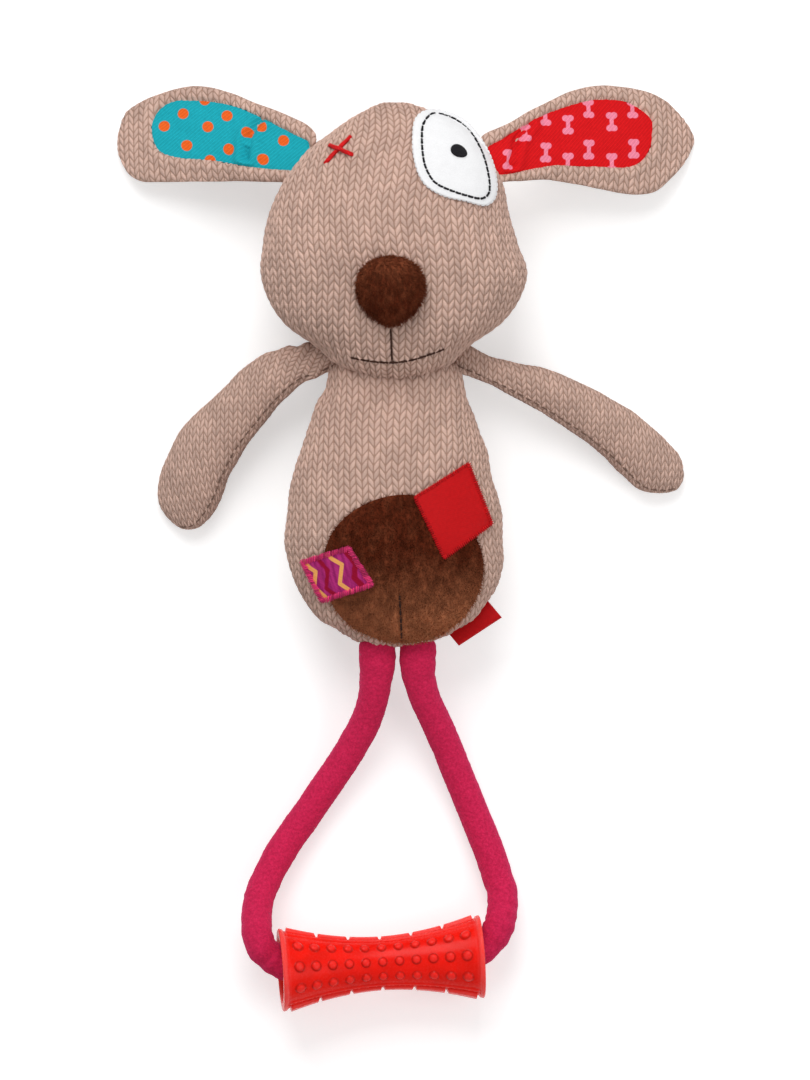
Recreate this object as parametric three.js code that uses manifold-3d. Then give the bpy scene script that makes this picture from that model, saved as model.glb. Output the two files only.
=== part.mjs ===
// Plush tug toy: a stuffed dog on its back, with a rope leg loop that carries a moulded chew handle.
// Millimetres. +Y runs from the hem to the top of the head, +X to the right seen from the front,
// and +Z points up out of the dog's front.
import * as THREE from 'three';
import { mergeVertices } from 'three/addons/utils/BufferGeometryUtils.js';
import Module from 'manifold-3d';

const wasm = await Module();
wasm.setup();

// Fabric and fit
const skinWall = 1.5; // knit with its backing
const layerGap = 0.3; // between pieces that touch
const jointGap = 0.6; // between pieces that move past each other
const cutOverrun = 4; // how far every cut runs past what it cuts
const floorCut = 0.5; // depth of the flats that the toy lies on
const formSides = 18; // round the head and body
const limbSides = 10; // round an arm or ear

// Body, from the hem up to the neck, where it ends in a dome about the nod axis
const bodyHeight = 99;
const bodyHalfWidth = 41.8;
const bodyHalfDepth = 27;
const bodySectionPower = 2.1;
const neckHalfWidth = 27;
const neckRadius = 18;
const neckDomeRings = 4;
// Share of the height, left and right shares of the half width, share of the half depth
const bodyShares = [
  [0.012, -0.13, 0.19, 0.16], [0.045, -0.4, 0.45, 0.36], [0.08, -0.54, 0.6, 0.49],
  [0.115, -0.68, 0.73, 0.6], [0.165, -0.78, 0.83, 0.71], [0.24, -0.89, 0.94, 0.84],
  [0.34, -0.97, 1.0, 0.945], [0.43, -1.0, 0.995, 1.0], [0.54, -0.985, 0.975, 0.99],
  [0.66, -0.935, 0.905, 0.94], [0.78, -0.85, 0.84, 0.85], [0.9, -0.75, 0.735, 0.73],
];

// Head
const chinRise = 4.5; // chin above the nod axis
const headHeight = 105;
const headHalfWidth = 51;
const headHalfDepth = 33;
const headSectionPower = 2.15;
const headShares = [
  [0.0, -0.1, 0.1, 0.14], [0.012, -0.25, 0.25, 0.28], [0.045, -0.42, 0.41, 0.45],
  [0.11, -0.585, 0.565, 0.64], [0.2, -0.83, 0.81, 0.82], [0.28, -0.935, 0.93, 0.91],
  [0.38, -0.99, 0.995, 0.98], [0.48, -0.98, 0.935, 1.0], [0.59, -0.94, 0.87, 0.96],
  [0.7, -0.845, 0.815, 0.875], [0.8, -0.69, 0.71, 0.74], [0.885, -0.48, 0.565, 0.56],
  [0.955, -0.265, 0.34, 0.325], [0.995, -0.07, 0.1, 0.1],
];

// Nose, a plush cap over a puff of filling
const nose = { x: -1.3, rise: 32.3, halfWidth: 13, halfHeight: 13.6, height: 9, wall: 1.2 };
const noseSides = 16;
const noseRings = 4;

// Eye patch, pupil and their stitching, at heights above the chin
const patchThickness = 0.8;
const eye = { x: 23.2, rise: 74.5, threadDiameter: 0.9, inset: 2.9 };
const eyeOutline = [
  [-7.6, 26.9], [-12.5, 23.6], [-15.6, 18.3], [-16.1, 10.5], [-15.2, 2.6], [-12.4, -1.4],
  [-4.0, -4.8], [5.5, -8.6], [10.3, -10.7], [13.9, -8.4], [15.7, -2.2], [14.9, 4.6],
  [11.8, 12.4], [6.9, 19.4], [2.0, 23.6], [-2.6, 26.6],
];
const pupil = { x: 1.5, y: 10.2, halfLength: 3.3, halfWidth: 2.4, turn: -25 };

// Threads sewn on the face and belly
const yarnDiameter = 1.5;
const threadDiameter = 1.0;
const threadSides = 6;
const stitchSteps = 8;
const mouthSteps = 16;
const crossX = -20.6;
const crossRise = 86.2;
const crossLong = [[4.3, 4.6], [-5.6, -5.8]];
const crossShort = [[-3.9, 1.2], [4.9, -2.6]];
const mouthPoints = [[-14.8, 6.5], [-5.7, 5.7], [-0.8, 5.5], [6.8, 6.5], [14.8, 9.0], [21.7, 11.6]];
const muzzlePoints = [[-1.3, 18.5], [-1.0, 12.4], [-0.8, 6.3]];
const bellyStitchPoints = [[2.1, 21.7], [2.6, 12.4], [3.0, 3.4]];

// Belly and sewn patches
const bellyPatch = { x: 3.4, y: 30.8, halfWidth: 30.4, halfHeight: 28.1, sides: 30 };
const zigzagCorners = [[-36.1, 33.6], [-16.7, 39.5], [-7.2, 24.7], [-27, 17.5]];
const labelCorners = [[28.5, 71.4], [7.4, 58.1], [19.0, 34.2], [37.8, 47.9]];
const borderThreadDiameter = 1.2;
const tag = { start: [36.6, 17.6], end: [21.2, 4.2], reach: 6.4, layer: 0.6, between: 0.4 };

// Arms and ears, their roots and seams at heights above the chin. Each table row: share of the length,
// left and right shares of the width and a share of the half depth, seen from the root with the tip upwards.
const arm = { halfDepth: 7.6, width: 26 };
const armLeft = {
  root: [-23.2, 7.5], length: 86.5, heading: -130.9, ...arm,
  shares: [
    [0.0, -0.17, 0.31, 0.34], [0.07, -0.1, 0.55, 0.45], [0.16, 0.07, 0.77, 0.64], [0.28, 0.13, 0.9, 0.81],
    [0.42, 0.125, 0.95, 0.92], [0.56, 0.1, 0.975, 0.97], [0.68, 0.01, 0.955, 1.0], [0.81, -0.13, 0.875, 0.98],
    [0.9, -0.17, 0.77, 0.9], [0.96, -0.135, 0.6, 0.7], [1.005, 0.05, 0.34, 0.25],
  ],
};
const armRight = {
  root: [24.7, 8.2], length: 98.6, heading: -31.6, ...arm,
  shares: [
    [0.0, -0.21, 0.2, 0.34], [0.1, -0.27, 0.165, 0.46], [0.19, -0.36, 0.122, 0.61], [0.31, -0.52, 0.095, 0.78],
    [0.44, -0.61, 0.085, 0.89], [0.57, -0.655, 0.103, 0.96], [0.68, -0.66, 0.154, 1.0], [0.78, -0.615, 0.24, 0.99],
    [0.86, -0.56, 0.296, 0.92], [0.93, -0.45, 0.21, 0.72], [0.985, -0.19, 0.0, 0.25],
  ],
};
const ear = { halfDepth: 3.2, width: 36 };
const earLeft = {
  root: [-33.8, 83.5], length: 71, heading: 174.5, ...ear,
  shares: [
    [-0.03, -0.255, 0.3, 0.62], [0.12, -0.275, 0.43, 0.77], [0.27, -0.303, 0.52, 0.9], [0.45, -0.337, 0.62, 1.0],
    [0.6, -0.367, 0.64, 1.0], [0.74, -0.393, 0.573, 1.0], [0.87, -0.4, 0.475, 0.94], [0.94, -0.328, 0.383, 0.82],
    [0.98, -0.222, 0.292, 0.62], [1.005, -0.056, 0.111, 0.3],
  ],
};
const earRight = {
  root: [36.5, 83.5], length: 77.8, heading: 5, ...ear,
  shares: [
    [-0.03, -0.23, 0.235, 0.62], [0.11, -0.33, 0.255, 0.78], [0.25, -0.48, 0.283, 0.9], [0.4, -0.61, 0.36, 0.98],
    [0.56, -0.656, 0.446, 1.0], [0.7, -0.62, 0.51, 1.0], [0.8, -0.55, 0.49, 0.98], [0.88, -0.447, 0.367, 0.9],
    [0.95, -0.27, 0.22, 0.7], [1.0, -0.056, 0.028, 0.3],
  ],
};
// Outlines of the printed linings: shares of the ear's length and of its width
const liningShares = {
  left: [
    [0.03, 0.2], [0.177, 0.315], [0.371, 0.437], [0.61, 0.487], [0.747, 0.43], [0.811, 0.311],
    [0.824, 0.139], [0.77, -0.094], [0.45, -0.14], [0.223, -0.181], [0.06, -0.15],
  ],
  right: [
    [0.04, -0.16], [0.21, -0.341], [0.386, -0.456], [0.535, -0.502], [0.713, -0.415], [0.794, -0.251],
    [0.791, -0.04], [0.755, 0.123], [0.692, 0.227], [0.482, 0.198], [0.298, 0.142], [0.07, 0.19],
  ],
};

// Seams that the limbs fold about: a point, a heading in plan and the angles they reach
const armSeamLeft = { at: [-29.6, 6.0], heading: 105, low: -8, high: 65 };
const armSeamRight = { at: [27.4, 6.6], heading: 75, low: -8, high: 65 };
const earSeamLeft = { at: [-35.6, 84.9], heading: 48, low: -12, high: 75 };
const earSeamRight = { at: [38.6, 83.1], heading: 130, low: -12, high: 75 };

// Leg loop: a rope core in a velour sleeve, sewn into the hem and threaded through the handle
const cordDiameter = 11.6;
const sleeveWall = 1.3;
const legSpread = 15.4; // between the two legs at the hem
const legCentre = 1.4;
const hemAxisDrop = 2.2; // swing axis below the hem
const cordSteps = 30;
const cordSides = 8;
const leftLegRoute = [
  [-6.8, -10, 24.2], [-7.8, -18, 20.4], [-10.7, -27, 15.6], [-14.9, -35, 12.0], [-20.4, -44, 9.2],
  [-27.3, -54, 7.4], [-34.9, -65, 6.8], [-42.4, -76, 7.6], [-48.4, -87, 10.6], [-51.6, -96, 15.0],
];
const rightLegRoute = [
  [41.2, -93, 10.4], [39.3, -86, 8.2], [35.6, -75, 7.0], [31.1, -64, 6.8], [27.0, -54, 7.4],
  [23.0, -44, 9.2], [19.4, -35, 12.0], [15.4, -26, 16.2], [11.7, -18, 20.4], [9.5, -10, 24.2],
];

// Chew handle: an hourglass tube, turned about its own axis
const handle = {
  centre: [-4.9, -119.2], length: 77, tilt: 3.8, rise: 4.5, endRadius: 15.4, waistRadius: 9.2,
  boreGap: 0.8, mouthRadius: 12.6, flarePower: 1.9, straight: 28.5, rimWidth: 3.2, rimHeight: 0.7,
};
const handleRings = 10;
const handleSides = 18;
const nub = { count: 11, height: 1.0, radius: 2.0, sides: 4, edgeMargin: 6.5 };
const plankSegments = 2;
const nubRowAngles = [-36, 0, 36, 144, 180, 216];
const plank = { angle: 90, arc: 36, height: 1.3, count: 5, gap: 1.6 };
const cordBendRadius = 19;
const straightShares = [0.3, 0.7, 0.9];
const bendAngles = [0, 20, 42, 66];

// Squeaker in the belly
const squeaker = {
  y: 42, radius: 15, wall: 1.4, neckRadius: 4.5, reedLength: 7, reedBore: 1.2, vent: 8,
};

// Colours and finish
const colours = {
  knit: 0xb59a86, filling: 0xf2efe8, plush: 0x5a2f1a, white: 0xf6f5f2, black: 0x17151a, redYarn: 0xc8281c,
  brownThread: 0x5d3a28, turquoise: 0x2bb3c4, red: 0xd3191f, purple: 0x8c2a78, pink: 0xe0407c, velour: 0xc4164a,
  rope: 0xe8e2d4, rubber: 0xf0241a, vinyl: 0xf0ece2, reed: 0xdedede,
};
const fabric = (colour) => new THREE.MeshStandardMaterial({ color: colour, roughness: 0.95, metalness: 0 });
const moulded = (colour) => new THREE.MeshStandardMaterial({ color: colour, roughness: 0.4, metalness: 0 });

const radians = THREE.MathUtils.degToRad;
const bodyAxisZ = bodyHalfDepth - floorCut;
const headAxisZ = headHalfDepth - floorCut;
const chinY = bodyHeight + chinRise;

// A closed geometry as a solid, and back
function solidOf(geometry) {
  const bare = geometry.clone();
  bare.deleteAttribute('normal');
  bare.deleteAttribute('uv');
  const merged = mergeVertices(bare);
  const mesh = new wasm.Mesh({
    numProp: 3,
    vertProperties: new Float32Array(merged.attributes.position.array),
    triVerts: new Uint32Array(merged.index.array),
  });
  return new wasm.Manifold(mesh);
}

function geometryOf(solid) {
  const mesh = solid.getMesh();
  const geometry = new THREE.BufferGeometry();
  geometry.setAttribute('position', new THREE.BufferAttribute(new Float32Array(mesh.vertProperties), 3));
  geometry.setIndex(new THREE.BufferAttribute(new Uint32Array(mesh.triVerts), 1));
  geometry.computeVertexNormals();
  return geometry;
}

// A soft form: closed rings along Y, each {y, left, right, depth} about a middle height
function ringForm(rings, sides, power, middle) {
  const positions = [];
  const index = [];
  for (const ring of rings) {
    const centre = (ring.left + ring.right) / 2;
    const half = (ring.right - ring.left) / 2;
    for (let i = 0; i < sides; i++) {
      const angle = (i / sides) * 2 * Math.PI;
      const c = Math.cos(angle);
      const s = Math.sin(angle);
      positions.push(
        centre + half * Math.sign(c) * Math.abs(c) ** (2 / power),
        ring.y,
        middle + ring.depth * Math.sign(s) * Math.abs(s) ** (2 / power),
      );
    }
  }
  for (let r = 0; r + 1 < rings.length; r++) {
    for (let i = 0; i < sides; i++) {
      const a = r * sides + i;
      const b = r * sides + ((i + 1) % sides);
      index.push(a, a + sides, b, b, a + sides, b + sides);
    }
  }
  for (const [first, up] of [[0, false], [(rings.length - 1) * sides, true]]) {
    for (let i = 1; i + 1 < sides; i++) {
      index.push(first, ...(up ? [first + i + 1, first + i] : [first + i, first + i + 1]));
    }
  }
  const geometry = new THREE.BufferGeometry();
  geometry.setAttribute('position', new THREE.Float32BufferAttribute(positions, 3));
  geometry.setIndex(index);
  return solidOf(geometry);
}

// A form's outline at any distance along it
function ringAt(rings, y) {
  let i = 0;
  while (i + 2 < rings.length && rings[i + 1].y < y) i++;
  const [a, b] = [rings[i], rings[i + 1]];
  const t = THREE.MathUtils.clamp((y - a.y) / (b.y - a.y), 0, 1);
  return {
    left: THREE.MathUtils.lerp(a.left, b.left, t),
    right: THREE.MathUtils.lerp(a.right, b.right, t),
    depth: THREE.MathUtils.lerp(a.depth, b.depth, t),
  };
}

// Rings grown outwards by the same amount all round
function grownRings(rings, by) {
  const list = rings.map((ring) => ({
    y: ring.y, left: ring.left - by, right: ring.right + by, depth: ring.depth + by,
  }));
  list[0].y -= by;
  list[list.length - 1].y += by;
  return list;
}

// Rings drawn in: by the full amount where the form is widest, and at its two ends
function drawnInRings(rings, by) {
  const first = rings[0].y;
  const length = rings[rings.length - 1].y - first;
  const widest = Math.max(...rings.map((ring) => (ring.right - ring.left) / 2));
  const deepest = Math.max(...rings.map((ring) => ring.depth));
  return rings.map((ring) => {
    const y = first + by + ((ring.y - first) * (length - 2 * by)) / length;
    const there = ringAt(rings, y);
    const middle = (there.left + there.right) / 2;
    const half = (((ring.right - ring.left) / 2) * (widest - by)) / widest;
    return { y, left: middle - half, right: middle + half, depth: (ring.depth * (deepest - by)) / deepest };
  });
}

function grownForm(rings, by, sides, power, middle) {
  return ringForm(by < 0 ? drawnInRings(rings, -by) : grownRings(rings, by), sides, power, middle);
}

const bodyRings = bodyShares.map(([y, left, right, depth]) => ({
  y: y * bodyHeight, left: left * bodyHalfWidth, right: right * bodyHalfWidth, depth: depth * bodyHalfDepth,
}));
for (let i = 0; i < neckDomeRings; i++) {
  const angle = (i / neckDomeRings) * (Math.PI / 2);
  bodyRings.push({
    y: bodyHeight + neckRadius * Math.sin(angle),
    left: -neckHalfWidth * Math.cos(angle),
    right: neckHalfWidth * Math.cos(angle),
    depth: neckRadius * Math.cos(angle),
  });
}
const headRings = headShares.map(([y, left, right, depth]) => ({
  y: chinY + y * headHeight, left: left * headHalfWidth, right: right * headHalfWidth, depth: depth * headHalfDepth,
}));

const bodyForm = (by) => grownForm(bodyRings, by, formSides, bodySectionPower, bodyAxisZ);
const headForm = (by) => grownForm(headRings, by, formSides, headSectionPower, headAxisZ);

// A box of solid from one height to another, wide enough to cut any piece
const cutSpan = 4 * (bodyHeight + headHeight);
function slab(low, high) {
  const geometry = new THREE.BoxGeometry(cutSpan, cutSpan, high - low);
  return solidOf(geometry.translate(0, 0, (low + high) / 2));
}
const floor = slab(-cutSpan, 0);

// An upright prism over an outline
function prism(points, low, high) {
  const shape = new THREE.Shape(points.map(([x, y]) => new THREE.Vector2(x, y)));
  const geometry = new THREE.ExtrudeGeometry(shape, { depth: high - low, bevelEnabled: false });
  return solidOf(geometry.translate(0, 0, low));
}

// A layer of cloth that follows a form over an outline, from one height above it to another
function layerOn(form, points, lift, thickness, middle) {
  const layer = form(lift + thickness).subtract(form(lift));
  return layer.intersect(prism(points, middle, middle + cutSpan / 2));
}

// How high a form's front stands above the floor at a place
function heightOn(rings, power, middle, x, y) {
  const { left, right, depth } = ringAt(rings, y);
  const share = Math.min(1, Math.abs((x - (left + right) / 2) / ((right - left) / 2)));
  return middle + depth * (1 - share ** power) ** (1 / power);
}

const headHeightAt = (x, y) => heightOn(headRings, headSectionPower, headAxisZ, x, y);
const bodyHeightAt = (x, y) => heightOn(bodyRings, bodySectionPower, bodyAxisZ, x, y);

// A round thread or rope along points. A closed one stops just short of where it began.
function thread(points, diameter, steps, sides = threadSides, closed = false) {
  let line = points.map((p) => new THREE.Vector3(...p));
  if (closed) {
    const loop = new THREE.CatmullRomCurve3(line, true, 'centripetal');
    const covered = 1 - diameter / loop.getLength();
    line = Array.from({ length: steps + 1 }, (_, i) => loop.getPointAt((covered * i) / steps));
  }
  const curve = new THREE.CatmullRomCurve3(line, false, 'centripetal');
  const shape = new THREE.Shape();
  for (let i = 0; i < sides; i++) {
    const angle = (i / sides) * 2 * Math.PI;
    const at = [(diameter / 2) * Math.cos(angle), (diameter / 2) * Math.sin(angle)];
    if (i === 0) shape.moveTo(...at);
    else shape.lineTo(...at);
  }
  return new THREE.ExtrudeGeometry(shape, { steps, extrudePath: curve, bevelEnabled: false });
}

// A point that lies the given distance off a form's front, above a place in plan
const slopeReach = 0.5;
function offForm(heightAt, x, y, distance) {
  const normalAt = (px, py) => new THREE.Vector3(
    (heightAt(px - slopeReach, py) - heightAt(px + slopeReach, py)) / (2 * slopeReach),
    (heightAt(px, py - slopeReach) - heightAt(px, py + slopeReach)) / (2 * slopeReach),
    1,
  ).normalize();
  const first = normalAt(x, y);
  const base = [x - first.x * distance, y - first.y * distance];
  const normal = normalAt(...base);
  return new THREE.Vector3(...base, heightAt(...base)).addScaledVector(normal, distance).toArray();
}

// A thread that lies on a form, with its underside at a height above it
function sewn(points, heightAt, lift, diameter, steps, closed = false) {
  const raised = points.map(([x, y]) => offForm(heightAt, x, y, lift + diameter / 2));
  return solidOf(thread(raised, diameter, steps, threadSides, closed));
}

// Points along an outline's sides, so that a thread follows the form between corners
function alongSides(corners, perSide) {
  const points = [];
  corners.forEach(([x, y], i) => {
    const [nextX, nextY] = corners[(i + 1) % corners.length];
    for (let k = 0; k < perSide; k++) {
      const t = k / perSide;
      points.push([THREE.MathUtils.lerp(x, nextX, t), THREE.MathUtils.lerp(y, nextY, t)]);
    }
  });
  return points;
}

function insetOutline(points, by) {
  const centre = points.reduce(([sx, sy], [x, y]) => [sx + x / points.length, sy + y / points.length], [0, 0]);
  return points.map(([x, y]) => {
    const reach = Math.hypot(x - centre[0], y - centre[1]);
    const share = (reach - by) / reach;
    return [centre[0] + (x - centre[0]) * share, centre[1] + (y - centre[1]) * share];
  });
}

function ellipse(x, y, halfWidth, halfHeight, sides, turn = 0) {
  return Array.from({ length: sides }, (_, i) => {
    const angle = (i / sides) * 2 * Math.PI;
    const u = halfWidth * Math.cos(angle);
    const v = halfHeight * Math.sin(angle);
    return [x + u * Math.cos(turn) - v * Math.sin(turn), y + u * Math.sin(turn) + v * Math.cos(turn)];
  });
}

const group = new THREE.Group();
function add(name, solidOrGeometry, material, parent = group) {
  const geometry = solidOrGeometry.isBufferGeometry ? solidOrGeometry : geometryOf(solidOrGeometry);
  const mesh = new THREE.Mesh(geometry, material);
  mesh.name = name;
  parent.add(mesh);
  return mesh;
}

// Two half shells of knit round a filling, split at the side seam
function stuffed(form, middle, trim) {
  const shell = trim(form(0)).subtract(form(-skinWall));
  return {
    front: shell.intersect(slab(middle + layerGap / 2, cutSpan)),
    back: shell.intersect(slab(-cutSpan, middle - layerGap / 2)),
    filling: trim(form(-skinWall - layerGap)),
  };
}

// Hem sockets: round hollows that the cord's ends turn in
const legXs = [legCentre - legSpread / 2, legCentre + legSpread / 2];
const hemAxisY = -hemAxisDrop;
const cordRadius = cordDiameter / 2;
function ball(x, y, z, radius, sides = formSides) {
  const geometry = new THREE.SphereGeometry(radius, sides, sides / 2);
  return solidOf(geometry.translate(x, y, z));
}
const sockets = legXs
  .map((x) => ball(x, hemAxisY, bodyAxisZ, cordRadius + jointGap, limbSides))
  .reduce((a, b) => a.add(b));

// Torso
const trimBody = (solid) => solid.subtract(floor).subtract(sockets);
const body = stuffed(bodyForm, bodyAxisZ, trimBody);
const squeakerPocket = ball(0, squeaker.y, bodyAxisZ, squeaker.radius + 2 * layerGap).add(
  solidOf(
    new THREE.CylinderGeometry(squeaker.vent, squeaker.vent, bodyHalfDepth + cutOverrun, formSides)
      .rotateX(Math.PI / 2)
      .translate(0, squeaker.y, bodyAxisZ - (bodyHalfDepth + cutOverrun) / 2),
  ),
);
add('body_front_panel', body.front, fabric(colours.knit));
add('body_back_panel', body.back, fabric(colours.knit));
add('body_filling', body.filling.subtract(squeakerPocket), fabric(colours.filling));

// Squeaker: a bulb lying in the filling, with a reed in its neck
{
  const inner = squeaker.radius - squeaker.wall;
  const neckStart = Math.sqrt(squeaker.radius ** 2 - squeaker.neckRadius ** 2);
  const throat = squeaker.neckRadius - squeaker.wall;
  const profile = [];
  const arc = (radius, from, to, steps) => {
    for (let i = 0; i <= steps; i++) {
      const angle = THREE.MathUtils.lerp(from, to, i / steps);
      profile.push(new THREE.Vector2(radius * Math.sin(angle), -radius * Math.cos(angle)));
    }
  };
  const arcSteps = 6;
  arc(squeaker.radius, 0, Math.PI - Math.asin(squeaker.neckRadius / squeaker.radius), arcSteps);
  profile.push(new THREE.Vector2(throat, neckStart));
  arc(inner, Math.PI - Math.asin(throat / inner), 0, arcSteps);
  profile[0].x = 0;
  profile[profile.length - 1].x = 0;
  const seat = new THREE.Group();
  seat.position.set(0, squeaker.y, bodyAxisZ);
  group.add(seat);
  const bulb = new THREE.LatheGeometry(profile, formSides);
  add('squeaker_bulb', solidOf(bulb), moulded(colours.vinyl), seat);
  const reedRadius = throat - layerGap;
  const reedProfile = [
    [squeaker.reedBore, 0], [reedRadius, 0], [reedRadius, squeaker.reedLength],
    [squeaker.reedBore, squeaker.reedLength], [squeaker.reedBore, 0],
  ].map(([x, y]) => new THREE.Vector2(x, y));
  const reed = new THREE.LatheGeometry(reedProfile, threadSides * 2);
  const reedSolid = add('squeaker_reed', solidOf(reed), moulded(colours.reed), seat);
  reedSolid.position.y = neckStart - squeaker.reedLength;
}

// Patches sewn on the belly, each one layer above the last
const bellyLift = layerGap;
const labelLift = bellyLift + patchThickness + layerGap;
const borderLift = labelLift + patchThickness + layerGap;
const bellyOutline = ellipse(
  bellyPatch.x, bellyPatch.y, bellyPatch.halfWidth, bellyPatch.halfHeight, bellyPatch.sides,
);
add(
  'belly_patch',
  layerOn(bodyForm, bellyOutline, bellyLift, patchThickness, bodyAxisZ),
  fabric(colours.plush),
);
add('zigzag_patch', layerOn(bodyForm, zigzagCorners, labelLift, patchThickness, bodyAxisZ), fabric(colours.purple));
add('label_patch', layerOn(bodyForm, labelCorners, labelLift, patchThickness, bodyAxisZ), fabric(colours.red));
const bordersPerSide = 5;
for (const [name, corners, colour] of [
  ['zigzag_patch_stitching', zigzagCorners, colours.pink],
  ['label_patch_stitching', labelCorners, colours.red],
]) {
  const line = alongSides(insetOutline(corners, borderThreadDiameter), bordersPerSide);
  const steps = line.length;
  add(name, sewn(line, bodyHeightAt, borderLift, borderThreadDiameter, steps, true), fabric(colour));
}
add(
  'belly_stitch',
  sewn(bellyStitchPoints, bodyHeightAt, labelLift, threadDiameter, stitchSteps),
  fabric(colours.brownThread),
);

// Side tag: a ribbon folded in two, with its ends in the side seam
{
  const [startX, startY] = tag.start;
  const [endX, endY] = tag.end;
  const span = Math.hypot(endX - startX, endY - startY);
  const thickness = 2 * tag.layer + tag.between;
  const fold = new THREE.Shape();
  fold.moveTo(-tag.reach, -thickness / 2);
  fold.lineTo(tag.reach - thickness / 2, -thickness / 2);
  fold.absarc(tag.reach - thickness / 2, 0, thickness / 2, -Math.PI / 2, Math.PI / 2, false);
  fold.lineTo(-tag.reach, thickness / 2);
  fold.lineTo(-tag.reach, tag.between / 2);
  fold.lineTo(tag.reach - thickness / 2, tag.between / 2);
  fold.absarc(tag.reach - thickness / 2, 0, tag.between / 2, Math.PI / 2, -Math.PI / 2, true);
  fold.lineTo(-tag.reach, -tag.between / 2);
  const ribbon = new THREE.ExtrudeGeometry(fold, { depth: span, bevelEnabled: false, curveSegments: 4 });
  const along = new THREE.Vector3(endX - startX, endY - startY, 0).normalize();
  const out = new THREE.Vector3(-along.y, along.x, 0).multiplyScalar(-1);
  if (out.x < 0) out.multiplyScalar(-1);
  const basis = new THREE.Matrix4().makeBasis(out, new THREE.Vector3().crossVectors(along, out), along);
  ribbon.applyMatrix4(basis);
  ribbon.translate(startX, startY, bodyAxisZ);
  add('side_tag', solidOf(ribbon).subtract(bodyForm(layerGap)), fabric(colours.red));
}

// Head, hollowed underneath so that it nods over the neck's dome
const nodProfile = Array.from({ length: 2 * neckDomeRings + 1 }, (_, i) => {
  const angle = (i / (2 * neckDomeRings)) * Math.PI;
  const reach = neckRadius + 2 * jointGap;
  return new THREE.Vector2(reach * Math.sin(angle), -(neckHalfWidth + jointGap) * Math.cos(angle));
});
nodProfile[0].x = 0;
nodProfile[nodProfile.length - 1].x = 0;
const nodHollow = new THREE.LatheGeometry(nodProfile, formSides)
  .rotateZ(-Math.PI / 2)
  .translate(0, bodyHeight, bodyAxisZ);
const neckSolid = bodyForm(jointGap).add(solidOf(nodHollow));
const trimHead = (solid) => solid.subtract(floor).subtract(neckSolid);
const head = stuffed(headForm, headAxisZ, trimHead);
add('head_front_panel', head.front, fabric(colours.knit));
add('head_back_panel', head.back, fabric(colours.knit));
add('head_filling', head.filling, fabric(colours.filling));

// Nose cap and its puff
{
  const noseY = chinY + nose.rise;
  const dome = (by) => {
    const geometry = new THREE.SphereGeometry(1, noseSides, noseRings * 2);
    geometry.scale(nose.halfWidth + by, nose.halfHeight + by, nose.height + by);
    return solidOf(geometry.translate(nose.x, noseY, headHeightAt(nose.x, noseY)));
  };
  const face = headForm(layerGap);
  add('nose_cap', dome(0).subtract(dome(-nose.wall)).subtract(face), fabric(colours.plush));
  add('nose_filling', dome(-nose.wall - layerGap).subtract(face), fabric(colours.filling));
}

// Eye patch, pupil and the line of stitches round it
const placeEye = (points) => points.map(([x, y]) => [eye.x + x, chinY + eye.rise + y]);
const eyeCurve = new THREE.CatmullRomCurve3(
  placeEye(eyeOutline).map(([x, y]) => new THREE.Vector3(x, y, 0)), true, 'centripetal',
);
const eyeEdge = eyeCurve.getPoints(eyeOutline.length * 2).slice(0, -1).map((p) => [p.x, p.y]);
const eyeGuard = layerOn(
  headForm, insetOutline(eyeEdge, -jointGap), 0, layerGap + patchThickness + jointGap, headAxisZ,
);
{
  const patch = layerOn(headForm, eyeEdge, layerGap, patchThickness, headAxisZ);
  add('eye_patch', patch, fabric(colours.white));
  const above = layerGap * 2 + patchThickness;
  const round = ellipse(
    eye.x + pupil.x, chinY + eye.rise + pupil.y, pupil.halfLength, pupil.halfWidth, noseSides, radians(pupil.turn),
  );
  add('eye_pupil', layerOn(headForm, round, above, patchThickness, headAxisZ), fabric(colours.black));
  const stitchLine = insetOutline(placeEye(eyeOutline), eye.inset);
  add(
    'eye_stitching',
    sewn(stitchLine, headHeightAt, above, eye.threadDiameter, eyeOutline.length * 2, true),
    fabric(colours.black),
  );
}

// Face threads
const onFace = (points, x = 0, y = 0) => points.map(([px, py]) => [px + x, py + y + chinY]);
function faceThread(name, points, lift, diameter, colour, steps = stitchSteps) {
  add(name, sewn(points, headHeightAt, lift, diameter, steps), fabric(colour));
}
faceThread('cross_stitch_long', onFace(crossLong, crossX, crossRise), layerGap, yarnDiameter, colours.redYarn);
faceThread(
  'cross_stitch_short', onFace(crossShort, crossX, crossRise),
  2 * layerGap + yarnDiameter, yarnDiameter, colours.redYarn,
);
faceThread('mouth_stitch', onFace(mouthPoints), layerGap, threadDiameter, colours.brownThread, mouthSteps);
faceThread(
  'muzzle_stitch', onFace(muzzlePoints), 2 * layerGap + threadDiameter, threadDiameter, colours.brownThread,
);

// Limbs: a flat form laid out from its root, folded down about its seam until its tip rests on the floor
const fromChin = ([x, rise]) => [x, chinY + rise];
const upZ = new THREE.Vector3(0, 0, 1);
function seamAxis(seam) {
  return new THREE.Vector3(Math.cos(radians(seam.heading)), Math.sin(radians(seam.heading)), 0);
}
function aboutSeam(seam, height, angle) {
  const turn = new THREE.Matrix4().makeRotationAxis(seamAxis(seam), angle);
  const there = new THREE.Matrix4().makeTranslation(seam.at[0], seam.at[1], height);
  const back = new THREE.Matrix4().makeTranslation(-seam.at[0], -seam.at[1], -height);
  return there.multiply(turn).multiply(back);
}

// The heading in plan from a seam out along its limb
const outward = (seam, sign) => radians(seam.heading - sign * 90);

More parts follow.
